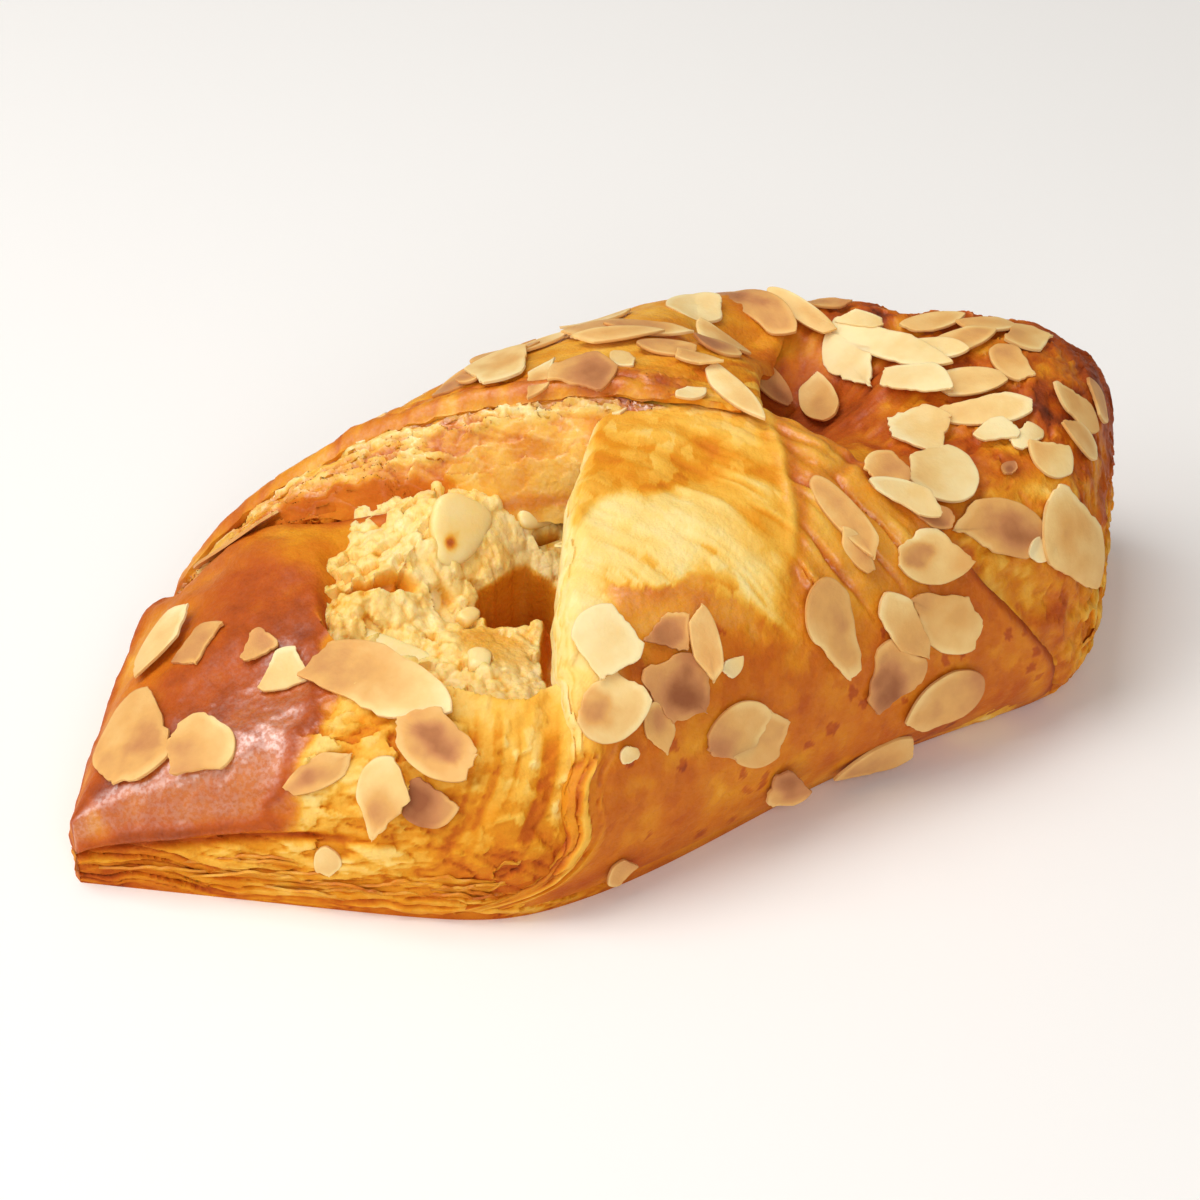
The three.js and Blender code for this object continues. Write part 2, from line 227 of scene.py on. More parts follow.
def pick(*pieces):
    # Selects these pieces alone, with the first one active.
    bpy.ops.object.select_all(action="DESELECT")
    for piece in pieces:
        piece.select_set(True)
    bpy.context.view_layer.objects.active = pieces[0]


def finish_mesh(piece, weld=0.00002, angle=55):
    # Closes seams, turns all faces outwards and smooths the piece, leaving its sharp edges.
    pick(piece)
    bpy.ops.object.mode_set(mode="EDIT")
    bpy.ops.mesh.select_all(action="SELECT")
    bpy.ops.mesh.remove_doubles(threshold=weld)
    bpy.ops.mesh.normals_make_consistent(inside=False)
    bpy.ops.object.mode_set(mode="OBJECT")
    bpy.ops.object.shade_smooth_by_angle(angle=math.radians(angle))


def put_in_frame(piece, node, finish):
    # Gives a piece its finish, and fixes it in the part's frame in place of a solid.
    piece.data.materials.append(finish)
    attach(piece, "root")
    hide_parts(node)


COLUMNS, CAP = 380, 5  # columns of the body's sheet, and those at each end that close it
body, across, round_it = sheet_of("dough_body", COLUMNS, 240)
column = across * COLUMNS
cap = np.clip(np.minimum(column, COLUMNS - column) / CAP, 0, 1)
x = np.interp(column, [CAP, 180, 262, COLUMNS - CAP], [-HALF, -22, 42, HALF])
BASE = 0.9  # share of the rows above the base
turn = np.interp(round_it, [0, 0.56, BASE, 1], [0, 92, 180, 360])
under = turn > 180
turn = np.where(under, 180, turn)
bare = skin(x, turn)
height = bare[:, 2]
girth = turn * GIRTH
big, mid, small, fine = lumps(bare)

# Zones of the body: the dark washed corner and its border, the ridge behind the mouth, the cut edges, the torn
# golden skins before the mouth, the pleats by the front flap, and the puffed right corner with its open side.
glaze_edge = along((28, -57), (42, -55), (54, -52), (69, -45.5), (88, -41.5), (104, -38), (126, -38), (150, -44))
wash_foot = along((-76, 4.4), (-70, 7), (-64, 8.6), (-56, 10.8), (-46, 11.5))
left_edge_top = along((-76, 4.4), (-70, 6.4), (-64, 6.8), (-57, 6.2), (-48, 5.2), (-36, 4.8), (-27, 4), (-21, 1))
right_edge_top = along((44, 1), (50, 5), (58, 8), (76, 9))
cut_left = step(left_edge_top(x) - height + 0.9 * mid + 0.3 * small, -0.3, 0.5) * step(x, -20, -26)
cut_right = step(right_edge_top(x) - height + 0.9 * mid, -0.5, 0.8) * step(x, 43, 48)
cut = np.maximum(cut_left, cut_right)
from_glaze = x - glaze_edge(turn) + 1.8 * mid + 1.2 * small
washed = step(height - wash_foot(x) + 0.4 * mid, -0.5, 0.1) * (1 - cut)
glaze = step(from_glaze, 1.6, -1.6) * washed * step(turn, 168, 150)
border = swell(from_glaze + 1.2, 1.5) * washed * step(turn, 110, 95)
lip = swell(height - wash_foot(x) - 1.1, 1.1) * glaze
frayed = swell(from_glaze - 2.2, 2.2) * step(turn, 44, 52) * step(turn, 78, 70)
ridge_turn = along(
    (-46, 134), (-38, 131), (-33, 126), (-28, 121), (-25, 117), (-22, 119), (-18, 132), (-12, 150),
)
ridge = swell((turn - ridge_turn(x)) * GIRTH + 0.5 * mid, 2.8) * step(x, -50, -42) * step(x, -18, -21)
inner_slope = step(turn - ridge_turn(x), 1, -5) * step(x, -44, -39) * step(x, -19, -25) * step(turn, 88, 98)
golden = step(x, -70, -62) * step(x, -21, -27) * step(turn, 84, 68) * (1 - glaze) * (1 - cut)
from_flap = x + 26 + 0.33 * (46 - turn) + 0.8 * big
pleats = step(from_flap + 1.5 * mid, -14, -6) * step(turn, 16, 30) * step(turn, 70, 58) * step(x, -20, -26)
folded = flat_place(from_flap + 0.7 * mid, 0.06 * girth)
fold = uneven(folded, 2.0, 25) + 0.5 * uneven(folded, 0.95, 26)
fold_line = step(fold, -0.35, -0.7)
right = step(x + 2 * mid, 25, 33)
wall = step(x + 1.5 * mid, 47, 52) * step(turn + 5 * mid, 36, 29) * (1 - cut_right)
wall_line = swell((turn + 5 * mid - 34) * GIRTH, 1.1) * step(x, 44, 50)
rim = step(x + 2.2 * mid, 62, 67) * step(turn, 20, 34) * step(turn, 135, 105)
back = step(turn, 128, 150)

# The leaves of dough show in the cut edges as short torn layers over each other; above them the golden skins are
# wrinkled, blistered and torn, and small pieces of skin stand off everywhere.
level = height + 2.0 * uneven(bare * [1, 1, 0.3], 17, 11) + 0.9 * uneven(bare * [1, 1, 0.4], 6, 12)
leaf, leaf_edge = torn(0.15 * x + 0.1 * bare[:, 1], level, 1.25, 13, 0.4)
skin_piece, skin_edge = torn(x + 0.3 * girth, girth, 3.4, 21)
scrap = torn(x, girth, 1.5, 28)[0]
hole_near = grains(x + 0.4 * small, girth, 2.0, 24)[0]
wrinkled = flat_place(x + 0.5 * girth + 1.5 * mid, 1.5 * girth - 0.3 * x + 1.0 * small)
wrinkle = uneven(wrinkled, 4.4, 27) + 0.45 * uneven(wrinkled, 2, 28)

relief = 0.45 * big + 0.18 * mid + 0.05 * small
relief += cut * (1.5 * (leaf - 0.5) - 0.7 * leaf_edge + 0.3 * small + 0.15 * fine + 0.2 * (scrap - 0.5))
grit = uneven(bare, 0.75, 6)
relief += glaze * (0.35 * mid + 0.10 * small + 0.11 * fine + 0.05 * grit) + 0.35 * border + 0.8 * lip
# A groove sunk under the glaze's lip; it is painted dark below as painted shade under the lip.
groove = swell(height - wash_foot(x) + 0.5, 0.55) * step(x, -46, -54) * (turn < 90)
relief -= 1.3 * groove
relief += golden * (1 - pleats) * (
    0.8 * (skin_piece - 0.5) - 0.25 * skin_edge + 0.4 * (scrap - 0.5) + 0.3 * wrinkle
)
relief += frayed * golden * (0.7 * scrap + 0.2 * fine)
relief += pleats * (0.3 * fold + 0.2 * small + 0.4 * (scrap - 0.5) + 0.3 * (skin_piece - 0.5))
relief += wall * (0.9 * scrap - 0.9 * step(hole_near, 0.4, 0.1) - 0.4 + 0.2 * fine) + 0.7 * wall_line
relief += right * (1 - wall) * (1 - cut) * (
    0.4 * mid + 0.3 * small + 0.14 * fine + 0.65 * (skin_piece - 0.5) + 0.45 * (scrap - 0.5)
)
relief += 0.7 * ridge - 5.5 * step(x, -40, -22) * step(x, -8, -16) * step(turn, 96, 106) * step(turn, 138, 124)
hem = step(turn, 0, 5) * step(turn, 180, 175)
points = skin(x, turn, relief * hem)

# The open mouth sinks to the filling, with an uneven rim.
mouth_middle, mouth_half = mouth(x)
inside = mouth_half - np.abs(points[:, 1] - mouth_middle) + 1.2 * mid + 0.6 * small
inside = np.minimum(inside, np.where(turn > 90, (ridge_turn(x) - 4 - turn) * GIRTH + 0.6 * mid, inside))
inside = np.where((x > MOUTH_LEFT) & (x < 12) & (turn > 35) & (turn < 145) & ~under, inside, -20)
sunk = step(inside, -0.4, 3.2 + 6 * step(x, -22, -30) * step(turn, 84, 100))
deep = step(np.hypot(x + 16, points[:, 1] + 5), 15, 10)
points[:, 2] = mixed(points[:, 2], sunk, mixed(17, deep, 8) + 0.5 * small)
rim_of_mouth = swell(inside + 1, 4.2) * step(turn, 100, 88)

# The base lies flat on the tray, and both ends close to their middles.
share = ((round_it - BASE) / (1 - BASE))[:, None]
points = np.where(under[:, None], skin(x, 180.0) * (1 - share) + skin(x, 0.0) * share, points)
middle = np.stack([x, middle_line(x), 0.45 * crest(x)], -1)
points = middle + (points - middle) * cap[:, None]

bake = 0.52 + 0.07 * big + 0.05 * mid - 0.06 * (scrap - 0.5)
skins = 0.345 - 0.26 * (skin_piece - 0.5) + 0.14 * skin_edge - 0.14 * (scrap - 0.5) - 0.05 * wrinkle + 0.06 * big
pleat_tone = 0.22 + 0.13 * step(turn, 50, 30) - 0.11 * fold + 0.22 * fold_line + 0.08 * mid
spots = step(big + 0.6 * mid + 0.3 * small, 0.2, 0.7)
mottled = 0.66 - 0.07 * step(turn, 44, 34) + 0.15 * mid + 0.15 * small + 0.06 * fine - 0.26 * spots
leaf_tone = 0.40 + 0.12 * step(x, -60, -72) - 0.26 * (leaf - 0.5) + 0.22 * leaf_edge + 0.07 * small
streaks = uneven(flat_place(x, 0.15 * girth), 2.2, 20)
low_glaze = step(height - wash_foot(x), 8, 2)
washed_tone = 0.69 + 0.10 * big + 0.07 * mid + 0.12 * step(turn, 66, 84) - 0.11 * step(turn, 92, 110)
washed_tone = washed_tone - 0.3 * low_glaze * np.maximum(0, streaks) - 0.14 * step(turn, 110, 126)
bake = tinted(
    bake,
    (golden, skins + 0.28 * step(x, -48, -38) * step(turn, 48, 26)),
    (0.8 * frayed * golden, 0.20 - 0.2 * (scrap - 0.5)),
    (pleats, pleat_tone - 0.2 * (scrap - 0.5)),
    (right, mottled - 0.16 * (skin_piece - 0.5) - 0.16 * (scrap - 0.5)),
    # Painted shade: the valley between the back flap's end and the puffed right corner is painted dark.
    (0.9 * swell(np.hypot(x - 31, (turn - 95) * GIRTH), 9), 0.88 + 0.08 * small),
    # The open side's wall, its pits painted darker as painted shade in them.
    (wall, 0.45 - 0.3 * (scrap - 0.5) + 0.2 * step(hole_near, 0.4, 0.1) + 0.08 * mid),
    (0.7 * wall_line, 0.8),
    (rim, 0.84 + 0.08 * mid),
    (cut, leaf_tone - 0.1 * (scrap - 0.5)),
    (inner_slope, 0.52 + 0.08 * mid),
    (back, 0.50 + 0.08 * mid + 0.04 * small),
    (glaze, washed_tone),
    (0.75 * border, 0.80 + 0.05 * mid),
    (0.8 * lip, 0.84 + 0.05 * mid),
    # Painted shade in the groove under the glaze's lip.
    (0.8 * groove, 0.9),
    (ridge, 0.66 + 0.08 * mid + 0.10 * small),
    (0.85 * rim_of_mouth, 0.19 + 0.09 * mid + 0.08 * small),
)
bake = np.where(sunk > 0.5, 0.54 + 0.1 * mid, bake) + 0.10 * step(height, 2.5, 0.4)
bake = np.where(under, 0.66 + 0.06 * mid, bake)
sheen = step(turn, 102, 76) * (0.9 + 0.35 * mid + 0.2 * small)
wash = np.clip(glaze * (0.1 + 0.9 * sheen) + 0.12 * ridge + 0.07 * right * (1 - wall) + 0.05 * back, 0, 1)
wash = wash * (1 - cut) * (1 - sunk) * (1 - 0.9 * np.clip(lip + border, 0, 1)) * (1 - 0.3 * low_glaze * glaze)
lay(body, points, bake=bake, wash=wash)
finish_mesh(body)


def tone(red, green, blue):
    # A colour as the eye names it, from 0 to 255, in the light values that shaders take.
    part = np.array([red, green, blue]) / 255
    light = np.where(part <= 0.04045, part / 12.92, ((part + 0.055) / 1.055) ** 2.4)
    return (*light.tolist(), 1.0)


def new_material(name):
    # A material, and the tree of nodes that makes its finish.
    material = bpy.data.materials.new(name)
    material.use_nodes = True
    return material, material.node_tree


def feed(tree, node, values):
    # Gives a node's inputs plain values, or joins them to other nodes' outputs.
    for name, value in values.items():
        if isinstance(value, bpy.types.NodeSocket):
            tree.links.new(value, node.inputs[name])
        else:
            node.inputs[name].default_value = value


def add_node(tree, kind, at, values=(), **settings):
    # A shader node with its settings and with what its inputs are given.
    node = tree.nodes.new("ShaderNode" + kind)
    node.location = at
    for name, setting in settings.items():
        setattr(node, name, setting)
    feed(tree, node, dict(values))
    return node


def noise(tree, at, scale, detail=2.0, roughness=0.5):
    # Fine random unevenness that is fixed to the piece.
    place = add_node(tree, "TexCoord", (at[0] - 200, at[1])).outputs["Object"]
    values = {"Vector": place, "Scale": scale, "Detail": detail, "Roughness": roughness}
    return add_node(tree, "TexNoise", at, values).outputs["Fac"]


def sums(tree, at, operation, *values):
    # One step of arithmetic on plain values and other nodes' outputs.
    return add_node(tree, "Math", at, dict(enumerate(values)), operation=operation).outputs[0]


def fade(tree, at, value, start, end, least, most):
    # A smooth rise from the least to the most as a value goes from start to end.
    values = {"Value": value, "From Min": start, "From Max": end, "To Min": least, "To Max": most}
    return add_node(tree, "MapRange", at, values, interpolation_type="SMOOTHSTEP").outputs["Result"]


def bumps(tree, at, height, strength, distance):
    # Relief too fine for the mesh, as a change of the surface's direction.
    values = {"Height": height, "Strength": strength, "Distance": distance}
    return add_node(tree, "Bump", at, values).outputs["Normal"]


def tone_ramp(tree, at, value, tones):
    # Colours that follow one another as a value rises.
    ramp = add_node(tree, "ValToRGB", at, {"Fac": value})
    while len(ramp.color_ramp.elements) < len(tones):
        ramp.color_ramp.elements.new(0.5)
    for stop, (place_on, colour) in zip(ramp.color_ramp.elements, tones):
        stop.position = place_on
        stop.color = tone(*colour)
    return ramp.outputs["Color"]


# The darker end of these tones also serves for painted shade.
BAKED_TONES = [  # how far the dough is baked, and its colour then
    (0.00, (250, 228, 166)), (0.15, (247, 211, 124)), (0.30, (240, 182, 70)), (0.45, (226, 147, 30)),
    (0.60, (207, 113, 20)), (0.75, (184, 83, 17)), (0.88, (146, 61, 20)), (1.00, (96, 40, 18)),
]


def baked_colours():
    # Shared by all the dough: the colour, gloss and fine pores of crust that is baked and washed so far, the colour
    # also carrying painted shade where it is painted in.
    tree = bpy.data.node_groups.new("baked_colours", "ShaderNodeTree")
    for name in ("Bake", "Wash", "Mottle", "Pore depth"):
        tree.interface.new_socket(name, in_out="INPUT", socket_type="NodeSocketFloat")
    for name, kind in (("Colour", "Color"), ("Roughness", "Float"), ("Egg wash", "Float"), ("Normal", "Vector")):
        tree.interface.new_socket(name, in_out="OUTPUT", socket_type="NodeSocket" + kind)
    given = tree.nodes.new("NodeGroupInput").outputs
    blotch = noise(tree, (-900, -200), 260, 4, 0.65)
    pores = noise(tree, (-900, -450), 1500, 3)
    speckle = noise(tree, (-900, -700), 1900)
    shift = sums(tree, (-650, -200), "SUBTRACT", blotch, 0.5)
    share = sums(tree, (-450, -150), "MULTIPLY_ADD", shift, given["Mottle"], given["Bake"])
    dull = sums(tree, (-200, -250), "MULTIPLY_ADD", given["Wash"], -0.24, 0.60)
    glint = fade(tree, (-450, -700), speckle, 0.38, 0.62, 0.42, 1.0)
    depth = sums(tree, (50, -550), "MULTIPLY_ADD", blotch, 2.5, pores)
    feed(tree, tree.nodes.new("NodeGroupOutput"), {
        "Colour": tone_ramp(tree, (-200, 100), share, BAKED_TONES),
        "Roughness": sums(tree, (50, -250), "MULTIPLY_ADD", shift, 0.35, dull),
        "Egg wash": sums(tree, (50, -400), "MULTIPLY", given["Wash"], glint),
        "Normal": bumps(tree, (400, -450), depth, given["Pore depth"], 0.0003),
    })
    return tree


BAKED_COLOURS = baked_colours()


def dough_material(name, mottle, pores, softness):
    # Baked dough or paste: how mottled its colour is, how deep its pores are and how far light goes into it.
    material, tree = new_material(name)
    marks = {
        socket: add_node(tree, "Attribute", (-600, 0), attribute_name=mark).outputs["Fac"]
        for mark, socket in (("bake", "Bake"), ("wash", "Wash"))
    }
    marks.update({"Mottle": mottle, "Pore depth": pores})
    finish = tree.nodes.new("ShaderNodeGroup")
    finish.node_tree = BAKED_COLOURS
    feed(tree, finish, marks)
    feed(tree, tree.nodes["Principled BSDF"], {
        "Base Color": finish.outputs["Colour"], "Roughness": finish.outputs["Roughness"],
        "Coat Weight": finish.outputs["Egg wash"], "Normal": finish.outputs["Normal"],
        "Specular IOR Level": 0.12, "Coat Roughness": 0.36, "Coat IOR": 2.9,
        "Subsurface Weight": softness, "Subsurface Radius": (1.0, 0.45, 0.18), "Subsurface Scale": 0.0018,
    })
    return material


crust_finish = dough_material("washed_crust", 0.3, 0.6, 0.12)
put_in_frame(body, "pastry", crust_finish)

# The front flap is the front corner of the dough square, folded up over the filling and pressed down on top.
# Its outer side baked tan; where it was stretched and then covered no wash reached it, and it is pale. Its left
# edge is rounded and torn, and stands over the mouth.
FRONT_FOLD, FRONT_TIP, FRONT_THICK = 4.0, 104.0, 3.6
FLAP_SKIN = 0.9  # thickness of a flap's own sheet
front_left = along(
    (0, -46), (5, -40), (10, -34.5), (17, -30.5), (30, -28), (42, -25.5), (52, -24), (68, -17), (90, -5), (104, 5),
)
front_right = along((0, 47), (14, 45), (36, 34), (58, 27), (74, 21), (90, 16), (104, 12))
front_thick = along((4, 0.3), (29, 0.6 * FRONT_THICK), (64, FRONT_THICK), (104, FRONT_THICK))


def front_lift(x, turn):
    # How far the front flap stands off the dough, fading at its right edge.
    return front_thick(turn) * step(front_right(turn) - x, 0, 3)


def creases(points, size, seed, width):
    # Thin wandering lines, 1 on a line and 0 off it.
    return step(np.abs(uneven(points, size, seed)), width, 0.0)


def edge_place(turn):
    # Places on a line round the section.
    return np.stack([0 * turn, 0 * turn, turn * GIRTH], -1)


def thicken(piece, thickness):
    # Gives a sheet its thickness in mm, on its inner side.
    wall = piece.modifiers.new("thickness", "SOLIDIFY")
    wall.thickness = thickness / 1000
    wall.offset = -1
    bpy.context.view_layer.objects.active = piece
    bpy.ops.object.modifier_apply(modifier=wall.name)


front, side, rise = sheet_of("front_flap", 240, 190)
EDGE = 0.09  # share of the columns that round the left edge
turn = FRONT_FOLD + (FRONT_TIP - FRONT_FOLD) * rise
lip = edge_place(turn)
left = front_left(turn) + (0.9 * uneven(lip, 5, 31) + 0.5 * uneven(lip, 1.7, 32)) * step(turn, 14, 30)
thick = front_thick(turn)
right_end = front_right(turn) + 0.8 * uneven(lip, 5, 33)
x = left + thick + (right_end - left - thick) * np.maximum(0, side - EDGE) / (1 - EDGE)
round_edge = np.clip(1 - side / EDGE, 0, 1)
bow = np.pi / 2 * np.minimum(1, 1.35 * round_edge)
x = x - thick * np.sin(bow)
lift = front_lift(x, turn) * np.cos(bow) - 6 * np.maximum(0, round_edge - 0.74)
bare = skin(x, turn, lift)
big, mid, small, fine = lumps(bare)
from_left = x - left
stretch = flat_place(x + 0.33 * (turn - 60) + 0.8 * mid, turn * 0.12)
folds = uneven(stretch, 2.6, 34) + 0.6 * uneven(stretch, 1.2, 35)
fibres = uneven(stretch * [1, 0.6, 1], 0.6, 40)
crease = creases(stretch, 3.4, 36, 0.16)
scrap = torn(x, turn * GIRTH, 1.6, 37)[0]
pale_right = along((30, 3), (45, 5.5), (53, 8.6), (63, 13), (85, 18))
past_pale = x - pale_right(turn) + 1.6 * mid + 0.8 * folds + 1.6 * (scrap - 0.5)
ragged = 4 * mid + 4 * folds + 2 * fibres + 4 * (scrap - 0.5)
pale_top = step(turn + ragged + 0.75 * (x + 4), 42, 53) * step(past_pale, 1.6, -2)
pale_band = step(from_left + 1.6 * mid, 9.5, 5) * step(turn + 5 * mid, 34, 46)
patch = np.hypot((x + 9 + 0.85 * (turn - 50)) / 5, (turn - 50) / 7) + 0.4 * mid + 0.3 * small + 0.5 * (scrap - 0.5)
patch = step(patch, 1.2, 0.8) * step(x, -17, -14)
pale = np.clip(np.maximum(pale_top * (1 - patch), pale_band), 0, 1)
glossy = step(past_pale, -1, 2) * step(turn, 33, 44)
layered = step(from_left + 1.2 * mid, 7, 2) * step(turn + 3 * mid, 48, 34)
layer, layer_edge = torn(0.12 * turn * GIRTH, from_left + 0.9 * uneven(bare, 6, 39), 1.3, 46, 0.35)
hollow = swell(np.hypot((x - 3.5) / 5.5, (turn - 71) / 6), 1)
speck = torn(x, turn * GIRTH, 1.1, 67)[0]
clear_edge = x - pale_right(turn) + 0.8 * mid
skin_end = swell(clear_edge, 0.8) * step(turn, 46, 56)
film = step(turn + 0.3 * x + 2.5 * mid + 1.2 * small, 68, 70.5)
relief = 0.4 * big + 0.14 * mid + 0.08 * small + (1 - pale) * (0.05 * fine + 0.1 * (scrap - 0.5)) + 0.35 * film
relief += pale * (0.16 * folds + 0.12 * fibres + 0.12 * small) - 1.6 * hollow
relief += glossy * (0.6 * folds - 0.5 * crease + 0.2 * small) + layered * (0.8 * (layer - 0.5) - 0.4 * layer_edge)
ledge, ledge_edge = torn(0.25 * turn * GIRTH, lift + 0.5 * uneven(lip, 6, 38), 1.0, 45, 0.4)
relief += step(round_edge, 0, 0.2) * (0.5 * (ledge - 0.5) - 0.2 * ledge_edge + 0.3 * small + 0.12 * fine)
relief += 0.5 * skin_end - 0.9 * step(side, 0.97, 1)
points = skin(x, turn, lift + relief * step(rise, 0, 0.06))
bake = 0.57 + 0.06 * big + 0.09 * mid + 0.06 * small + 0.06 * step(turn, 24, 8)
bake = bake - 0.07 * (scrap - 0.5) + 0.03 * fine + 0.18 * (speck > 0.972)
streaky = step(x + 2 * mid, -2, 11)
pale_tone = 0.16 - 0.05 * folds - 0.05 * fibres + 0.06 * big + 0.04 * small - 0.06 * (scrap - 0.5)
bake = tinted(
    bake,
    (glossy, 0.47 - 0.18 * folds + 0.16 * crease + 0.06 * mid),
    (layered, 0.44 - 0.24 * (layer - 0.5) + 0.22 * layer_edge + 0.05 * small),
    (pale, pale_tone + streaky * (0.28 - 0.16 * folds - 0.08 * fibres)),
    (patch * 0.95, 0.50 + 0.10 * mid + 0.08 * small),
    (pale_top * film, 0.31 + 0.10 * step(x, 4, -4) - 0.16 * (scrap - 0.5) - 0.10 * folds),
)
# Painted shade: the dent in the film (hollow) is painted darker.
bake = tinted(
    bake + 0.24 * hollow * (0.8 - 0.3 * folds),
    (step(round_edge, 0.1, 0.5) * pale, 0.08 + 0.14 * ledge_edge - 0.1 * (ledge - 0.5)),
    (0.6 * swell(clear_edge - 1.5, 0.9) * step(turn, 44, 54), 0.66),
    (0.6 * skin_end, 0.24),
    (0.85 * step(side + 0.01 * small, 0.95, 0.985) * step(turn, 58, 48), 0.86),
)
wash = 0.3 * patch + 0.2 * glossy + 0.05 * (1 - pale)
lay(front, points, bake=bake, wash=wash)
thicken(front, FLAP_SKIN)
finish_mesh(front)
flap_finish = dough_material("stretched_dough", 0.15, 0.5, 0.2)
put_in_frame(front, "pastry", flap_finish)

# The back flap is the opposite corner of the dough square, folded over the front one and stuck down on top of it.
# It was washed again, so it baked golden and bright, with a browner line along its cut edge.
BACK_FOLD, BACK_TIP, BACK_THICK = 176.0, 78.0, 5.4
back_left = along((78, 13), (101, -2), (134, -27), (151, -42), (180, -44))
back_right = along((78, 16), (92, 22), (106, 30), (120, 39), (150, 43), (180, 43))
back_thick = along(
    (78, FRONT_THICK + 0.5), (86, 1.2 * FRONT_THICK), (96, 1.1 * BACK_THICK), (107, BACK_THICK),
    (151, 0.7 * BACK_THICK), (176, 0.3),
)


def back_lift(x, turn):
    # How far the back flap stands off the dough, fading into the right corner near its fold.
    return back_thick(turn) * np.maximum(step(back_right(turn) - x, 0, 22), 1 - step(turn, 100, 118))


def back_rag(turn):
    # How far the back flap's cut edge wanders in and out.
    lip = edge_place(turn)
    return 0.9 * uneven(lip, 6, 41) + 0.4 * uneven(lip, 2, 42)


back_sheet, side, rise = sheet_of("back_flap", 230, 160)
turn = BACK_FOLD + (BACK_TIP - BACK_FOLD) * rise
lip = edge_place(turn)
left = back_left(turn) + back_rag(turn)
x = left + (back_right(turn) + 0.9 * uneven(lip, 4, 43) - left) * side
bare = skin(x, turn, back_lift(x, turn))
big, mid, small, fine = lumps(bare)
from_left, from_right = x - left, back_right(turn) - x
torn_way = flat_place(0.6 * (from_left + 0.8 * mid), turn * 0.05)
leaf_lines = uneven(torn_way, 1.1, 44) + 0.5 * creases(torn_way, 1.6, 51, 0.3)
edge_line = swell(from_left - 2.2 - 0.8 * mid, 2.2)
tip = step(turn + 6 * mid, 102, 88)
flaky = np.clip(step(from_left, 11, 4) + 0.8 * tip, 0, 1)
relief = 0.45 * big + 0.18 * mid + 0.05 * small
scrap = torn(0.5 * from_left, turn * GIRTH, 1.6, 55)[0]
relief += flaky * (0.3 * leaf_lines + 0.2 * small + 0.3 * (scrap - 0.5)) + 0.06 * fine
relief += (0.5 * edge_line - 1.2 * step(from_left, 1.4, 0)) * (1 - tip) - 0.9 * step(side, 0.97, 1)
points = skin(x, turn, back_lift(x, turn) + relief * step(rise, 0, 0.06))
bake = 0.38 + 0.07 * big + 0.08 * mid + 0.06 * small + 0.09 * leaf_lines * flaky + 0.16 * step(turn, 150, 166)
bake = mixed(bake, edge_line, 0.60 + 0.14 * mid + 0.14 * small + 0.05 * fine)
bake = bake + 0.14 * step(from_right, 14, 3) * (1 - tip) - 0.12 * (scrap - 0.5) * (0.4 + flaky)
bake = mixed(bake, tip, 0.44 + 0.12 * small - 0.24 * (scrap - 0.5) + 0.08 * leaf_lines)
wash = 0.1 + 0.2 * edge_line - 0.1 * tip
lay(back_sheet, points, bake=bake, wash=wash)
thicken(back_sheet, FLAP_SKIN)
finish_mesh(back_sheet)
put_in_frame(back_sheet, "pastry", crust_finish)

# The band is the back flap's cut edge, which faces the mouth. The butter between its leaves has opened the dough
# into a rough, webbed slope that hangs from the flap and ends on the filling.
BAND_SKIN = 0.8  # thickness of the band's own sheet
band, down, run = sheet_of("back_edge_band", 70, 330)
turn = 168 + (79 - 168) * run
slope = step(turn, 80, 92) * step(turn, 160, 140)
hang = slope * step(turn, 138, 114)
path = turn * 0.85
edge = flat_place(path, 0 * path)
drop = down * (1 + 0.10 * uneven(edge, 7, 45) + 0.05 * uneven(edge, 2, 47))
x = back_left(turn) + back_rag(turn) + 0.3 - (1.2 + 4.8 * slope) * drop
low_turn = turn - 5.5 * slope * drop
top = back_lift(back_left(turn) + 2, turn)
lift = top * (1 - drop ** 1.2) - 0.6 - 7 * hang * drop ** 1.6 + 0.9 * slope * np.sin(np.pi * np.minimum(1, drop))
fall = 12 * drop
web_near, web_next, web_own = grains(0.5 * path + 0.3 * fall, fall, 2.8, 46)
web = step(web_next - web_near, 0.2, 0.02) * step(web_own, 0.2, 0.5)
bare = skin(x, low_turn, lift)
mid, small, fine = lumps(bare, (5.5, 2.4, 1.1))
layers = fall + 1.6 * uneven(edge, 9, 50) + 0.8 * mid
layers = np.sqrt(np.abs(np.sin(np.pi * layers / 2.4)))
scrap, scrap_edge = torn(0.4 * path + 0.3 * fall, fall, 2.2, 57, 0.4)
shred = torn(0.6 * path, fall, 1.1, 64, 0.4)[0]
draped = flat_place(path + 0.4 * fall, 0.3 * fall)
drape = uneven(draped, 3.4, 52) + 0.4 * uneven(draped, 1.5, 53)
whole = step(turn + 4 * mid, 120, 106) * step(drop + 0.1 * mid, 0.2, 0.38)
relief = 0.3 * web + 0.25 * layers + 0.3 * small + 0.15 * fine - 0.3 + 1.1 * (scrap - 0.5) + 0.8 * (shred - 0.5)
relief = mixed(relief, 0.7 * whole, 0.5 * drape + 0.2 * small + 0.1 * fine)
points = skin(x, low_turn, lift + relief * step(run, 1, 0.97) * step(down, 0, 0.06))
bake = 0.36 - 0.16 * web - 0.34 * (scrap - 0.5) - 0.26 * (shred - 0.5) + 0.12 * scrap_edge + 0.1 * mid
bake = mixed(bake, 0.7 * whole, 0.37 - 0.14 * drape + 0.12 * mid + 0.06 * small)
bake = mixed(bake, swell(drop - 0.92, 0.05) * hang, 0.52) + 0.14 * step(drop, 0.2, 0.0)
bake = bake + 0.14 * step(turn, 95, 84) + 0.14 * step(turn, 138, 150)
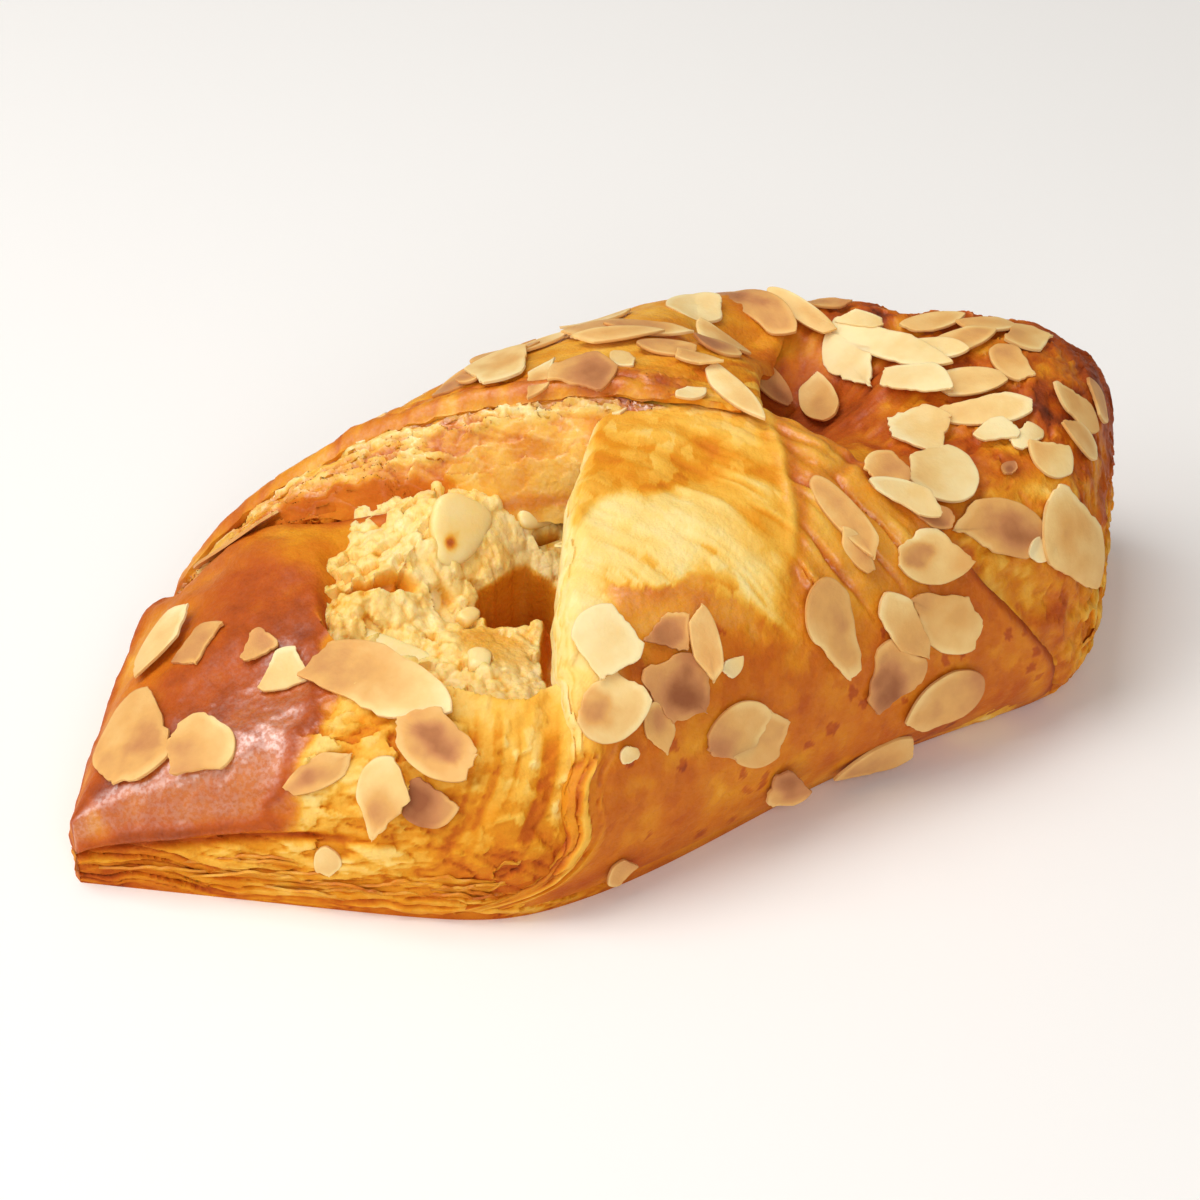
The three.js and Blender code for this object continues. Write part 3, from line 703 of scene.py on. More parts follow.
low_edge = step(drop + 0.06 * small, 0.6, 0.75) * step(turn, 112, 118) * step(turn, 148, 138)
bake = mixed(bake, low_edge, 0.65 + 0.1 * mid)
wash = 0.3 + 0.3 * web + 0.4 * step(drop, 0.25, 0.05) - 0.5 * low_edge
lay(band, points, bake=bake, wash=wash)
thicken(band, BAND_SKIN)
finish_mesh(band)
put_in_frame(band, "pastry", flap_finish)

# Loose leaves of the cut edges: thin torn ribbons of dough, lifted here and there where the butter kept them
# apart from the rest, round the foot of both open corners.
LEAF_SKIN = 0.3  # thickness of one leaf


def loose_leaf(start, length, turn_at, tilt, out_by, seed):
    # One leaf: a short strip, ragged and thinning to its ends, that leans out from the rest and hangs on one side.
    leaf, run, out = sheet_of("loose_leaf", 36, 4)
    x = start + length * run
    line = np.stack([x, 0 * x, 0 * x + 2.9 * seed], -1)
    ends = np.sin(np.pi * run) ** 0.6
    wave = 1.4 * uneven(line, 7, 61) + 0.5 * uneven(line, 2.2, 62)
    ragged = 1 + 0.5 * uneven(line, 1.6, 63) + 0.3 * uneven(line, 0.7, 64)
    sign = -1 if turn_at > 90 else 1
    turn = turn_at + sign * (wave + tilt * (run - 0.5) + 3.4 * out * ragged * ends)
    lift = -0.7 + (0.9 + out_by * ragged) * out * ends
    bare = skin(x, turn, lift)
    shade = 0.5 + 0.12 * uneven(line, 9, 65) + 0.12 * uneven(bare, 1.6, 66) - 0.06 * out
    lay(leaf, bare, bake=shade, wash=0.1)
    thicken(leaf, LEAF_SKIN)
    return leaf


def join(pieces, name, weld):
    # Joins loose pieces into one.
    pick(*pieces)
    bpy.ops.object.join()
    pieces[0].name = pieces[0].data.name = name
    finish_mesh(pieces[0], weld)
    return pieces[0]


leaves = []
draw = np.random.default_rng(5)
for low, high, turns, count in (
    (-74, -28, (4, 20), 18), (-74, -44, (176, 160), 10), (48, 73, (4, 20), 8), (46, 73, (176, 160), 8),
):
    for k in range(count):
        length = draw.uniform(5, 13)
        start = draw.uniform(low, high - length)
        leaves.append(loose_leaf(
            start, length, draw.uniform(*sorted(turns)), draw.uniform(-3, 3), draw.uniform(0.0, 0.5), len(leaves),
        ))
corner_leaves = join(leaves, "corner_leaves", 0.000001)
put_in_frame(corner_leaves, "pastry", flap_finish)

# The filling is a moist almond paste that baked to a fine crumb. It fills the fold from end to end; in the open
# mouth it has risen in lumps, and by the front flap's edge a bubble of steam has left a smooth brown hollow.
FLOOR, FILL_LEVEL, BANK, ROOF, GAP = 7.0, 20.5, 8.0, 4.0, 0.4
TUCK = 2.4  # how far the filling goes into the dough on each side of the hollow
mouth_top = along((MOUTH_LEFT, 32), (-20, 40), (-4, 43), (6, 38), (16, 29), (28, 19), (40, 21), (MOUTH_RIGHT, 20))
LUMPS = [  # place along X and Y, reach, height
    (-30, 1, 7, 2), (-27, -10, 6, 1.5), (-23, 12, 7, 2), (-11, 12, 8, 2),
]


def filling_top(x, y):
    # The height of the filling: lumpy and higher at the back of the mouth, and up to the roof under the flaps.
    top = FILL_LEVEL + BANK * step(y, -2, 9)
    for lx, ly, reach, rise in LUMPS:
        top = top + rise * swell(np.hypot(x - lx, y - ly), reach)
    width = np.where(y < middle_line(x), front_width(x), back_width(x))
    over = np.minimum(1, np.abs((y - middle_line(x)) / width))
    roof = crest(x) * (1 - over ** BOXINESS) ** (1 / BOXINESS) - ROOF
    return mixed(np.minimum(top, roof + 2.5 * step(x, 2, -6)), step(x, 2, 14), roof)


def filling_slope(x, y):
    # How fast the filling rises along X and along Y.
    return filling_top(x + 0.5, y) - filling_top(x - 0.5, y), filling_top(x, y + 0.5) - filling_top(x, y - 0.5)


def mouth_arch(x, y):
    # How far the hollow's wall stands from its waist, up or down, at a place.
    middle, half = mouth(x)
    rise = (mouth_top(x) - FLOOR) / 2
    over = np.minimum(1, np.abs(y - middle) / np.maximum(0.1, half + TUCK))
    return rise * (1 - over ** BOXINESS) ** (1 / BOXINESS) - GAP


filling, run, round_it = sheet_of("almond_filling_crumb", 290, 270)
x = np.interp(run, [0, 0.74, 1], [MOUTH_LEFT - 2, 8, MOUTH_RIGHT - 3])
middle, half = mouth(x)
waist = (mouth_top(x) + FLOOR) / 2
UPPER = 0.8  # share of the rows on the top of the filling
upper = round_it <= UPPER
y = middle + (half + TUCK) * np.interp(round_it, [0, UPPER, 1], [-1, 1, -1])
flat = flat_place(x, y)
lump, knobbly, gritty = uneven(flat, 5, 71), uneven(flat, 1.7, 77), uneven(flat, 0.8, 78)
near, _, own = grains(x + 0.5 * lump + 0.4 * knobbly, y + 0.3 * gritty, 2.0, 72)
fine_near, _, fine_own = grains(x + 0.2 * knobbly, y, 0.95, 75)

# The hollow left by the steam, its narrow tail along the flap's edge, a thin crevice on the left, and the part
# that the butter has soaked.
by_flap, down_flap = 0.863 * (x + 17.2) - 0.506 * (y + 11.2), -0.506 * (x + 17.2) - 0.863 * (y + 11.2)
round_hole = np.hypot((x + 15.5) / 6, (y + 2.6) / 4.6) + 0.16 * lump + 0.12 * knobbly
long_hole = np.hypot((by_flap - 1.2) / 2.0, (down_flap - 1) / 10) + 0.1 * lump + 0.1 * knobbly
hole = -0.2 * np.log(np.exp(-5 * round_hole) + np.exp(-5 * long_hole))
hollow = step(hole, 1.04, 0.64)
aside, onward = 0.848 * (x + 31.3) - 0.53 * (y - 4.6), 0.53 * (x + 31.3) + 0.848 * (y - 4.6)
crevice = np.hypot(aside / 5.2, (onward + 0.5 * lump) / 1.4) + 0.3 * knobbly
slit = np.hypot((x + 8.0) / 1.7, (y - 3.6) / 0.4) + 0.25 * knobbly
crevice = step(np.minimum(crevice, slit), 1.15, 0.6)
oily = step(np.hypot((x + 23.5) / 5, (y + 8) / 5.5) + 0.3 * lump, 1.1, 0.6)
open_part = step(x, 4, -2)

# Crumbs stand out from the paste along its own slope, so that they stay round where the paste is steep.
crumb = 0.9 * np.sqrt(np.maximum(0, 1 - near ** 2)) * (0.4 + own)
crumb = crumb + 0.6 * np.sqrt(np.maximum(0, 1 - fine_near ** 2))
crumb = crumb - 1.2 - 0.8 * (own < 0.16) + 0.7 * lump + 0.3 * knobbly + 0.15 * gritty
crumb = crumb * open_part * (1 - 0.75 * oily) * (1 - 0.8 * hollow)
low = waist - mouth_arch(x, y)
high = filling_top(x, y)
slope_x, slope_y = (slope * open_part for slope in filling_slope(x, y))
steep = np.sqrt(1 + slope_x ** 2 + slope_y ** 2)
high = mixed(high - 3.0 * crevice, hollow, mixed(16.5, step(round_hole, 1.1, 0.6), 10) + 0.4 * lump)
high = np.minimum(high, waist + mouth_arch(x, y) + 0.4) + crumb / steep
points = np.stack([x, y, np.where(upper, high, np.minimum(low, high - 0.6))], -1)
pushed = np.where(upper, crumb / steep, 0)
points[:, 0] -= slope_x * pushed
points[:, 1] -= slope_y * pushed
cave = np.where(upper, step(round_hole, 1.04, 0.64) * step(y, -8, -1), 0)
points[:, :2] += cave[:, None] * [1, 3.5] + np.where(upper, crevice, 0)[:, None] * [0.5, 1.2]
points[round_it > 0.9999] = points[round_it < 0.0001]
# Painted shade: the paste between the crumbs is painted darker than the crumbs.
bake = 0.11 + 0.05 * lump + 0.26 * step(near, 0.5, 0.9) * (1 - own) + 0.1 * step(fine_near, 0.5, 0.8)
bake = bake + 0.08 * (fine_own - 0.5) + 0.04 * gritty + 0.07 * step(x, -27, -34)
bake = tinted(
    bake,
    (oily, 0.30 + 0.10 * lump + 0.05 * knobbly),
    # Painted shade in the crevice and the slit.
    (crevice, 0.56 + 0.08 * lump),
    (step(hole, 1.06, 0.98), 0.48 + 0.06 * lump + 0.05 * knobbly),
)
lay(filling, points, bake=bake, wash=0.15 + 0.5 * oily + 0.2 * hollow)
finish_mesh(filling, angle=75)
bpy.ops.object.mode_set(mode="EDIT")
bpy.ops.mesh.select_all(action="SELECT")
bpy.ops.mesh.fill_holes(sides=0)
bpy.ops.mesh.normals_make_consistent(inside=False)
bpy.ops.object.mode_set(mode="OBJECT")
put_in_frame(filling, "almond_filling", dough_material("almond_crumb", 0.14, 0.6, 0.35))

# Bits of blanched almond from the paste, baked into the crumb where it shows in the mouth. They lie on its slope,
# half sunk in it, and the largest has a brown spot.


def almond_bit(x, y, long, wide, thick, spin, taper, spot):
    # One bit: its place, half sizes, turn and taper, and 1 if it has the spot.
    bpy.ops.object.select_all(action="DESELECT")
    bpy.ops.mesh.primitive_uv_sphere_add(segments=32, ring_count=20, radius=1)
    bit = bpy.context.object
    ball = places_of(bit)
    a, b, c = (np.sign(ball) * np.abs(ball) ** [0.7, 0.75, 0.45]).T
    uneven_by = 1 + 0.12 * uneven(ball + x, 0.8, 86)
    a, b, c = a * long * uneven_by, b * wide * (1 + taper * a) * uneven_by, c * thick
    up_x, up_y = filling_slope(x, y)
    out = np.array([-up_x, -up_y, 1]) / math.hypot(up_x, up_y, 1)
    to_a = np.array([math.cos(math.radians(spin)), math.sin(math.radians(spin)), 0])
    to_a = to_a - out * (to_a @ out)
    to_a /= np.linalg.norm(to_a)
    centre = np.array([x, y, filling_top(x, y)])
    points = centre + a[:, None] * to_a + b[:, None] * np.cross(out, to_a) + (c - 0.25 * thick)[:, None] * out
    shade = 0.07 + 0.05 * uneven(points, 2, 87) + 0.14 * step(c / thick, 0.5, -0.1)
    brown = swell(np.hypot(a + 0.45 * long, b - 0.2 * wide) + 0.3 * uneven(points, 0.8, 88), 0.75) * spot
    lay(bit, points, bake=mixed(shade, brown, 0.78), wash=0.2)
    return bit


bits = [
    almond_bit(-19.6, 6.2, 4.7, 3.5, 1.5, 58, 0.25, 1), almond_bit(-8.2, 5.4, 2.9, 1.4, 0.9, -10, 0, 0),
    almond_bit(-26.7, -11, 1.9, 1.5, 1.2, 60, 0.1, 0), almond_bit(-34.4, -1.6, 7, 1.1, 0.5, -61, 0, 0),
    almond_bit(-22.6, -1.4, 1.6, 1.1, 1.0, 20, 0, 0),
]
almond_bits = join(bits, "almond_bits", 0.00002)
put_in_frame(almond_bits, "almond_filling", dough_material("blanched_almond", 0.08, 0.15, 0.3))

# Flaked almonds: thin slices cut across blanched and unblanched kernels, scattered on the egg wash before baking.
# Most are pale and whole, some are broken, some show the brown heart of the kernel, and all toasted unevenly.
FLAKES = [  # place along X, turn, length, width, spin, layer, tilt, toasting, heart, then sides lost and shares
    (-55.9, 122, 14.5, 6, 168, 1, 0, 0.2, 0.1),
    (-53.4, 109.5, 8.5, 6.8, -12, 0, 0, 0.55, 0.2, -60, 0.2, 110, 0.16),
    (-66, 99, 13, 13.8, 133, 0, 0, 0.44, 0.5, -155, 0.17, 50, 0.1),
    (-61.4, 71.5, 9.6, 8.8, -145, 0, 0, 0.42, 0.2, -45, 0.16, 170, 0.07),
    (-48.8, 96, 5.2, 4.6, -170, 0, 0, 0.5, 0.2, -60, 0.18, 75, 0.18),
    (-48.2, 85.5, 7.6, 5.2, -172, 1, -8, 0.14, 0.1, -60, 0.17, 70, 0.1),
    (-41, 70, 22, 9.4, -57, 0, 0, 0.33, 0.3, 75, 0.07, -95, 0.06),
    (-51.4, 48.7, 10.5, 3.4, -159, 0, 0, 0.45, 0.5, -125, 0.09),
    (-46.3, 39.7, 11, 6.2, -116, 1, 0, 0.26, 0.5, 65, 0.2),
    (-39.2, 49, 11.6, 7.8, 134, 2, 0, 0.42, 0.9, -115, 0.15, 20, 0.06),
    (-42, 37.6, 6.8, 5.6, -13, 0, 0, 0.72, 0.4, 55, 0.2, 165, 0.08),
    (-18.9, 49.7, 9.2, 8.2, -119, 1, 0, 0, 0.2, 130, 0.1, 25, 0.12),
    (-21, 41.3, 9.2, 7.6, -18, 0, 0, 0.2, 1, 115, 0.07, 155, 0.08),
    (-11.2, 46.8, 7.2, 5.5, -179, 0, 0, 0.55, 0.5, 50, 0.22, -70, 0.18, 150, 0.15),
    (-7.9, 42.6, 10.6, 3.2, -100, 1, 12, 0.36, 0.2, -60, 0.15),
    (-12.3, 38.4, 11.2, 7.8, -56, 0, 0, 0.68, 0.6, 30, 0.14, 140, 0.1, -105, 0.1),
    (-15.7, 34.5, 6.4, 4.1, -100, 0, 0, 0.45, 0.4, -50, 0.12, 105, 0.12),
    (-5.9, 26.7, 10, 7.6, -178, 0, 0, 0.44, 0.4, 55, 0.18, 140, 0.14),
    (-20.3, 33, 2.7, 2.2, 0, 0, 10, 0.15, 0, -110, 0.1),
    (1.6, 11.5, 6.4, 6, -125, 0, 18, 0.6, 0.4, 160, 0.2, -70, 0.16), (-21.9, 7.6, 4.2, 2.9, -160, 0, 15, 0.5, 0),
    (17, 7, 12.5, 4.6, 190, 0, 15, 0.46, 0.2), (9.6, 36.4, 13.8, 6.8, -82, 0, 0, 0.36, 0.5, 80, 0.12),
    (19.2, 32.7, 11.2, 5.5, -70, 1, 0, 0.36, 0.2, -50, 0.22, 85, 0.08),
    (25.7, 32.4, 12.2, 7.4, 147, 0, 0, 0.36, 0.3, 45, 0.14, -125, 0.1),
    (17.2, 25.6, 10.2, 8.1, -119, 0, 0, 0.58, 0.7, 50, 0.16, 165, 0.12, -80, 0.1),
    (24.8, 16.5, 12, 7.3, -163, 0, 0, 0.45, 0.3, 30, 0.1),
    (25.7, 42.2, 11.2, 6.4, -18, 0, 0, 0.26, 1, 50, 0.14, 125, 0.08),
    (36.5, 42.9, 13.4, 7.5, 161, 0, 0, 0.48, 0.8, 65, 0.22),
    (47.6, 36.6, 15.5, 10.2, 92, 1, 0, 0.26, 0.4, 135, 0.15, -65, 0.1), (42, 37.5, 4, 3, 179, 1, 0, 0.08, 0),
    (49.2, 52, 7.2, 5.6, 108, 0, 0, 0.25, 0.2, -55, 0.26), (44.4, 60.8, 6.4, 3.7, 169, 1, 0, 0, 0, -60, 0.1),
    (47.6, 57.7, 5.6, 3.8, -11, 0, 0, 0.04, 0, 115, 0.24), (46, 66.6, 13, 4.8, -31, 0, 0, 0.16, 0.2),
    (46.7, 74.7, 10.4, 4.6, -33, 0, 0, 0.22, 0.3, -140, 0.08), (36.8, 69, 9.2, 8.6, -14, 0, 0, 0.1, 0.2, -30, 0.13),
    (33.4, 56.3, 9.8, 9.6, 165, 1, 0, 0.12, 0.2, -70, 0.13),
    (24.6, 57, 6.2, 5.6, 161, 0, 0, 0.42, 0.3, 65, 0.1, -15, 0.08),
    (25.3, 51.7, 10.4, 3.6, 141, 1, 0, 0.12, 0.1, -178, 0.06), (28.1, 48, 6.5, 2.9, 147, 0, 0, 0.65, 0.3, 178, 0.1),
    (16.4, 51.5, 13, 3.4, -76, 0, 10, 0.42, 0.3), (15.8, 46.5, 7.3, 2.4, -73, 0, 8, 0.38, 0.2),
    (33.4, 97, 11, 4.4, 68, 2, 0, 0.38, 0.3), (43.7, 95, 18, 6, -69, 1, 0, 0.02, 0.1, -95, 0.08),
    (39.2, 98.5, 12, 6.6, -99, 0, 0, 0.03, 0.1, 61, 0.18, -70, 0.2),
    (41, 81, 10.9, 6.4, -64, 2, 0, 0.02, 0.1, 120, 0.18, -60, 0.1),
    (51.2, 101, 9.5, 4, 6, 0, 0, 0.28, 0.2), (51.1, 87.5, 9.9, 4.7, -7, 0, 0, 0.32, 0.4),
    (53.6, 72.6, 7.8, 5, -86, 0, 0, 0.4, 0.3, 65, 0.22),
    (59.5, 81.5, 9.2, 6.7, 169, 0, 0, 0.34, 0.3, -45, 0.22, -155, 0.14),
    (58, 55, 9.4, 4.6, 114, 0, 0, 0.32, 0.3, -75, 0.15), (55.4, 50, 8.6, 3.8, 115, 1, 0, 0.34, 0.3, -55, 0.14),
    (64.6, 52, 6.3, 4.5, 93, 0, 0, 0.5, 0.2), (-10.5, 121.5, 7.8, 3.8, -168, 0, 0, 0.55, 0.3),
    (-9.2, 119, 4.2, 3, 177, 1, 0, 0.5, 0.2), (-5.7, 117.6, 12, 9, -160, 1, 0, 0.16, 0.6, -30, 0.18, 125, 0.17),
    (-2, 127, 9, 4.5, -10, 0, 0, 0.18, 0.1), (1, 123, 12, 4, -5, 0, 0, 0.34, 0.2),
    (-3.8, 108.7, 9.5, 4.2, -147, 0, 0, 0.22, 0.5, -65, 0.22, 110, 0.2),
    (-0.3, 102, 8.6, 9.6, -24, 1, 0, 0.58, 0.5, -130, 0.24), (5.9, 101.7, 5, 3, -96, 0, 0, 0.18, 0.1, 56, 0.15),
    (2.2, 94.5, 4.6, 2, -140, 0, 0, 0.14, 0.1), (12, 124, 10, 4.5, -8, 0, 0, 0.14, 0.1),
    (9.4, 118, 11.3, 5, -37, 1, 0, 0.42, 0.3), (14, 111.5, 11.4, 4.4, -39, 0, 0, 0.44, 0.3),
    (8.9, 111, 11.8, 3.3, -32, 1, 6, 0.32, 0.3), (12.3, 100.5, 8.8, 3.6, -52, 0, 0, 0.48, 0.3),
    (9.3, 86.3, 4.2, 3.1, -179, 0, 0, 0.08, 0, -135, 0.15), (25.4, 119.5, 8.3, 7, -14, 0, 0, 0.08, 0.2),
    (33.5, 119, 16, 5.5, -80, 0, 0, 0.52, 0.5), (38.3, 114, 12.8, 2.8, -76, 1, 8, 0.2, 0.3),
    (14.2, 82.5, 13, 3, -91, 0, 10, 0.14, 0.2), (13.1, 93.7, 7.3, 2.4, -56, 1, 0, 0.38, 0.2),
    (29.4, 105, 8.3, 3.8, -71, 3, 0, 0.62, 0.3), (43, 117, 7, 3, -10, 0, 0, 0.5, 0.3),
    (-5.1, 38.2, 3.4, 2.4, 20, 0, 0, 0.1, 0, 60, 0.2), (-2.2, 24.5, 9.5, 6.6, -170, 0, 0, 0.4, 0.3, 140, 0.14),
    (-52.5, 21, 4.6, 3, -95, 0, 0, 0.22, 0),
    (-1.5, 124.5, 9, 5, -30, 0, 0, 0.5, 0.4, -100, 0.12), (21, 104, 9, 4.4, -60, 1, 8, 0.3, 0.3, 90, 0.14),
    (18.5, 98, 7, 3.6, -40, 0, 0, 0.6, 0.3, 20, 0.1), (43.5, 107, 8, 3.4, -50, 1, 0, 0.1, 0.1, 150, 0.2),
    (47, 87, 8.5, 3.8, -50, 1, 0, 0.08, 0.1, -140, 0.2), (56.5, 92, 8, 4.4, -20, 0, 0, 0.3, 0.3, 100, 0.12),
    (42.5, 52.5, 2.4, 1.8, 30, 0, 0, 0.7, 0.4),
]


def in_front(x, turn):
    # Whether a place lies on the front flap.
    return FRONT_FOLD < turn < FRONT_TIP and front_left(turn) < x < front_right(turn)


def in_back(x, turn):
    # Whether a place lies on the back flap.
    return BACK_TIP < turn < BACK_FOLD and back_left(turn) < x < back_right(turn)


def cover_lift(x, turn):
    # How far the flaps stand off the dough at a place.
    front = front_lift(x, turn) if in_front(x, turn) else 0
    return max(front, back_lift(x, turn) if in_back(x, turn) else 0)


def drawn(row, kind):
    # A fixed share from 0 to 1 for each flake of the far rows and each of its measures.
    return math.sin(12.9898 * row + 78.233 * kind) * 437.585 % 1


far = 0
for far_turn in (140, 156):
    for far_x in range(-36 + far_turn - 140, 54, 19):
        far += 1
        FLAKES.append((
            far_x - 3 + 6 * drawn(far, 1), far_turn - 5 + 10 * drawn(far, 2), 10 + 6 * drawn(far, 3),
            6 + 3 * drawn(far, 4), -60 + 120 * drawn(far, 5), 0, 0, 0.1 + 0.5 * drawn(far, 6), 0.8 * drawn(far, 7),
            360 * drawn(far, 8), 0.1 + 0.15 * drawn(far, 9),
        ))
SPOKES, SLICE = 52, 0.42  # points round a flake, and its thickness
PARTS = np.array([0.2, 0.4, 0.58, 0.74, 0.88, 0.975, 1.0])  # rings across a flake, out to its rim
RINGS = len(PARTS)
FACE_POINTS = 1 + RINGS * SPOKES  # points on one face of a flake


def flake_outline(length, width, lost, seed):
    # An almond's outline, pointed at one end or both and a little uneven, with sides broken off along rough lines;
    # and where it is broken.
    own = np.random.default_rng(100 + seed)
    angle = np.arange(SPOKES) * 2 * np.pi / SPOKES
    ring = np.stack([np.cos(angle), np.sin(angle), 0 * angle + seed], -1)
    size = 1.04 + 0.05 * uneven(ring, 0.9, 81) + 0.02 * uneven(ring, 0.3, 82)
    t = np.cos(angle)
    point = 1 + 0.5 * step(t, -0.1, 1) + own.choice([0, 0, 0.4]) * step(-t, 0.1, 1)
    a = t * length / 2 * size
    b = np.sign(np.sin(angle)) * np.abs(np.sin(angle)) ** point * width / 2 * (1.06 - 0.1 * t) * size
    broken = 0 * a
    nicks = [(own.uniform(0, 360), own.uniform(0.03, 0.15)) for k in range(own.integers(1, 4))]
    for side, share in list(zip(lost[::2], lost[1::2])) + nicks:
        ca, sa = math.cos(math.radians(side)), math.sin(math.radians(side))
        limit = (0.5 - share) * math.hypot(ca * length, sa * width)
        past = np.maximum(0, a * ca + b * sa - limit - 0.035 * width * uneven(ring, 0.15, 83))
        a, b = a - past * ca, b - past * sa
        broken = np.maximum(broken, past > 0.02 * width)
    return a, b, broken


def over_rings(outline):
    # Values round a flake's outline, for its middle point and for each of its rings.
    return np.concatenate([[0], np.tile(outline, RINGS)])


def flake_slice(x, turn, length, width, spin, lift, tilt, toast, heart, lost, seed):
    # A slice's two faces, laid on what carries it: stiff, so it follows the curve under it only in part.
    a, b, broken = flake_outline(length, width, lost, seed)
    part = np.concatenate([[0], np.repeat(PARTS, SPOKES)])
    a = a.mean() + over_rings(a - a.mean()) * part
    b = b.mean() + over_rings(b - b.mean()) * part
    own = np.random.default_rng(seed)
    bend = own.uniform(-0.5, 0.9) * 2 * (a / length) ** 2 + own.uniform(-0.4, 0.4) * a * b / (length * width) * 4
    bend = bend + own.uniform(-0.06, 0.06) * a + own.uniform(-0.08, 0.08) * b
    c, s = math.cos(math.radians(spin)), math.sin(math.radians(spin))
    u, v = a * c - b * s, a * s + b * c
    on_back = in_back(x, turn)
    give = 0.85 if on_back else 0.55
    lift = lift + 0.6 if on_back or turn > 130 else lift + 0.3 * step(x, 24, 30)
    centre = skin(x, turn, lift)
    du = skin(x + 1, turn, lift) - skin(x - 1, turn, lift)
    dv = skin(x, turn + 1, lift) - skin(x, turn - 1, lift)
    to_x, to_turn = 2 / np.linalg.norm(du), 2 / np.linalg.norm(dv)
    du, dv = du / np.linalg.norm(du), dv / np.linalg.norm(dv)
    out = np.cross(du, dv)
    out /= np.linalg.norm(out)
    dv = np.cross(out, du)
    stiff = centre + u[:, None] * du + v[:, None] * dv
    at_x, at_turn = x + u * to_x, turn + v * to_turn
    soft = skin(at_x, at_turn, np.maximum(lift, back_lift(at_x, at_turn) + 1.3) if on_back else lift)
    lean = bend + (b + width / 2) * math.sin(math.radians(tilt))
    face = (1 - give) * stiff + give * soft + lean[:, None] * out
    thin = SLICE / 2 * np.where(part > 0.99, 0.8, 1)
    cut_face = np.stack([a, b, 0 * a + 9 * seed], -1)
    spot = own.uniform(-0.25, 0.25) * length
    dark = step(np.hypot((a - spot) / length / 0.9, b / width) + 0.12 * uneven(cut_face, 1.6, 85), 0.42, 0.1)
    # Painted highlight: on one side of each slice the rim is painted lighter, as if lit there.
    lit_rim_way = own.uniform(0, 2 * np.pi)
    lit_rim_side = np.cos(np.arctan2(b - b[0], a - a[0]) - lit_rim_way)
    shade = toast + 0.06 + 0.42 * heart * dark + own.uniform(-0.2, 0.2) * 2 * a / length
    shade = shade + 0.08 * uneven(cut_face, 2.5, 84) - 0.16 * step(part, 0.7, 0.92) * step(lit_rim_side, 0.1, 0.8)
    rim = part * (1 - 0.1 * over_rings(broken))
    return face + out * thin[:, None], face - out * thin[:, None], rim, shade


def flake_faces():
    # The faces of one slice: a fan in the middle, rings of squares, and the rim between its two faces.
    faces = []
    for side in (0, 1):
        o = side * FACE_POINTS
        for k in range(SPOKES):
            n = (k + 1) % SPOKES
            fan = (o, o + 1 + k, o + 1 + n)
            faces.append(fan if side == 0 else fan[::-1])
            for ring in range(RINGS - 1):
                p, q = o + 1 + ring * SPOKES, o + 1 + (ring + 1) * SPOKES
                square = (p + k, q + k, q + n, p + n)
                faces.append(square if side == 0 else square[::-1])
    outer = 1 + (RINGS - 1) * SPOKES
    for k in range(SPOKES):
        n = (k + 1) % SPOKES
        faces.append((outer + k, FACE_POINTS + outer + k, FACE_POINTS + outer + n, outer + n))
    return faces


def flakes_piece(name, slices):
    # Joins many slices into one piece, each with marks for its own toasting, which also carries a painted highlight
    # on one side of the rim, and for its rim.
    one = flake_faces()
    faces = [tuple(i + 2 * FACE_POINTS * k for i in face) for k in range(len(slices)) for face in one]
    tops, bottoms, rims, shades = map(np.array, zip(*slices))
    points = np.concatenate([tops, bottoms], 1).reshape(-1, 3)
    mesh = bpy.data.meshes.new(name)
    mesh.from_pydata(points.tolist(), [], faces)
    piece = bpy.data.objects.new(name, mesh)
    bpy.context.scene.collection.objects.link(piece)
    lay(piece, points, rim=np.tile(rims, 2).ravel(), toast=np.tile(shades, 2).ravel())
    finish_mesh(piece, weld=0.0000001, angle=60)
    return piece


ALMOND_TONES = [  # how far a slice is toasted, and its colour then
    (0.0, (252, 229, 174)), (0.25, (243, 203, 134)), (0.5, (228, 172, 100)), (0.75, (196, 132, 82)),
    (1.0, (150, 88, 52)),
]


def almond_material():
    # Pale kernel toasted towards tan, a painted highlight along the cut edge with a thin brown skin, and a fine cut
    # grain.
    material, tree = new_material("toasted_almond")
    toast = add_node(tree, "Attribute", (-1200, 0), attribute_name="toast").outputs["Fac"]
    rim = add_node(tree, "Attribute", (-1200, -250), attribute_name="rim").outputs["Fac"]
    shift = sums(tree, (-950, 300), "SUBTRACT", noise(tree, (-1200, 300), 500, 3), 0.5)
    toasted = sums(tree, (-750, 200), "MULTIPLY_ADD", shift, 0.2, toast)
    # Painted highlight: the rim is made a little lighter all round.
    rim_highlight = sums(tree, (-550, 100), "SUBTRACT", toasted, fade(tree, (-950, -250), rim, 0.86, 0.97, 0, 0.03))
    kernel = tone_ramp(tree, (-350, 100), rim_highlight, ALMOND_TONES)
    brown = fade(tree, (-550, -350), rim, 0.97, 1.0, 0, 0.35)
    skinned = add_node(tree, "Mix", (-50, 100), data_type="RGBA")
    feed(tree, skinned, {"Factor": brown, "A": kernel, "B": tone(186, 116, 48)})
    feed(tree, tree.nodes["Principled BSDF"], {
        "Base Color": skinned.outputs["Result"], "Roughness": 0.5, "Specular IOR Level": 0.2,
        "Normal": bumps(tree, (-50, -300), noise(tree, (-1200, 550), 1800), 0.25, 0.0002),
        "Subsurface Weight": 0.2, "Subsurface Radius": (1.0, 0.6, 0.3), "Subsurface Scale": 0.0012,
    })
    return material


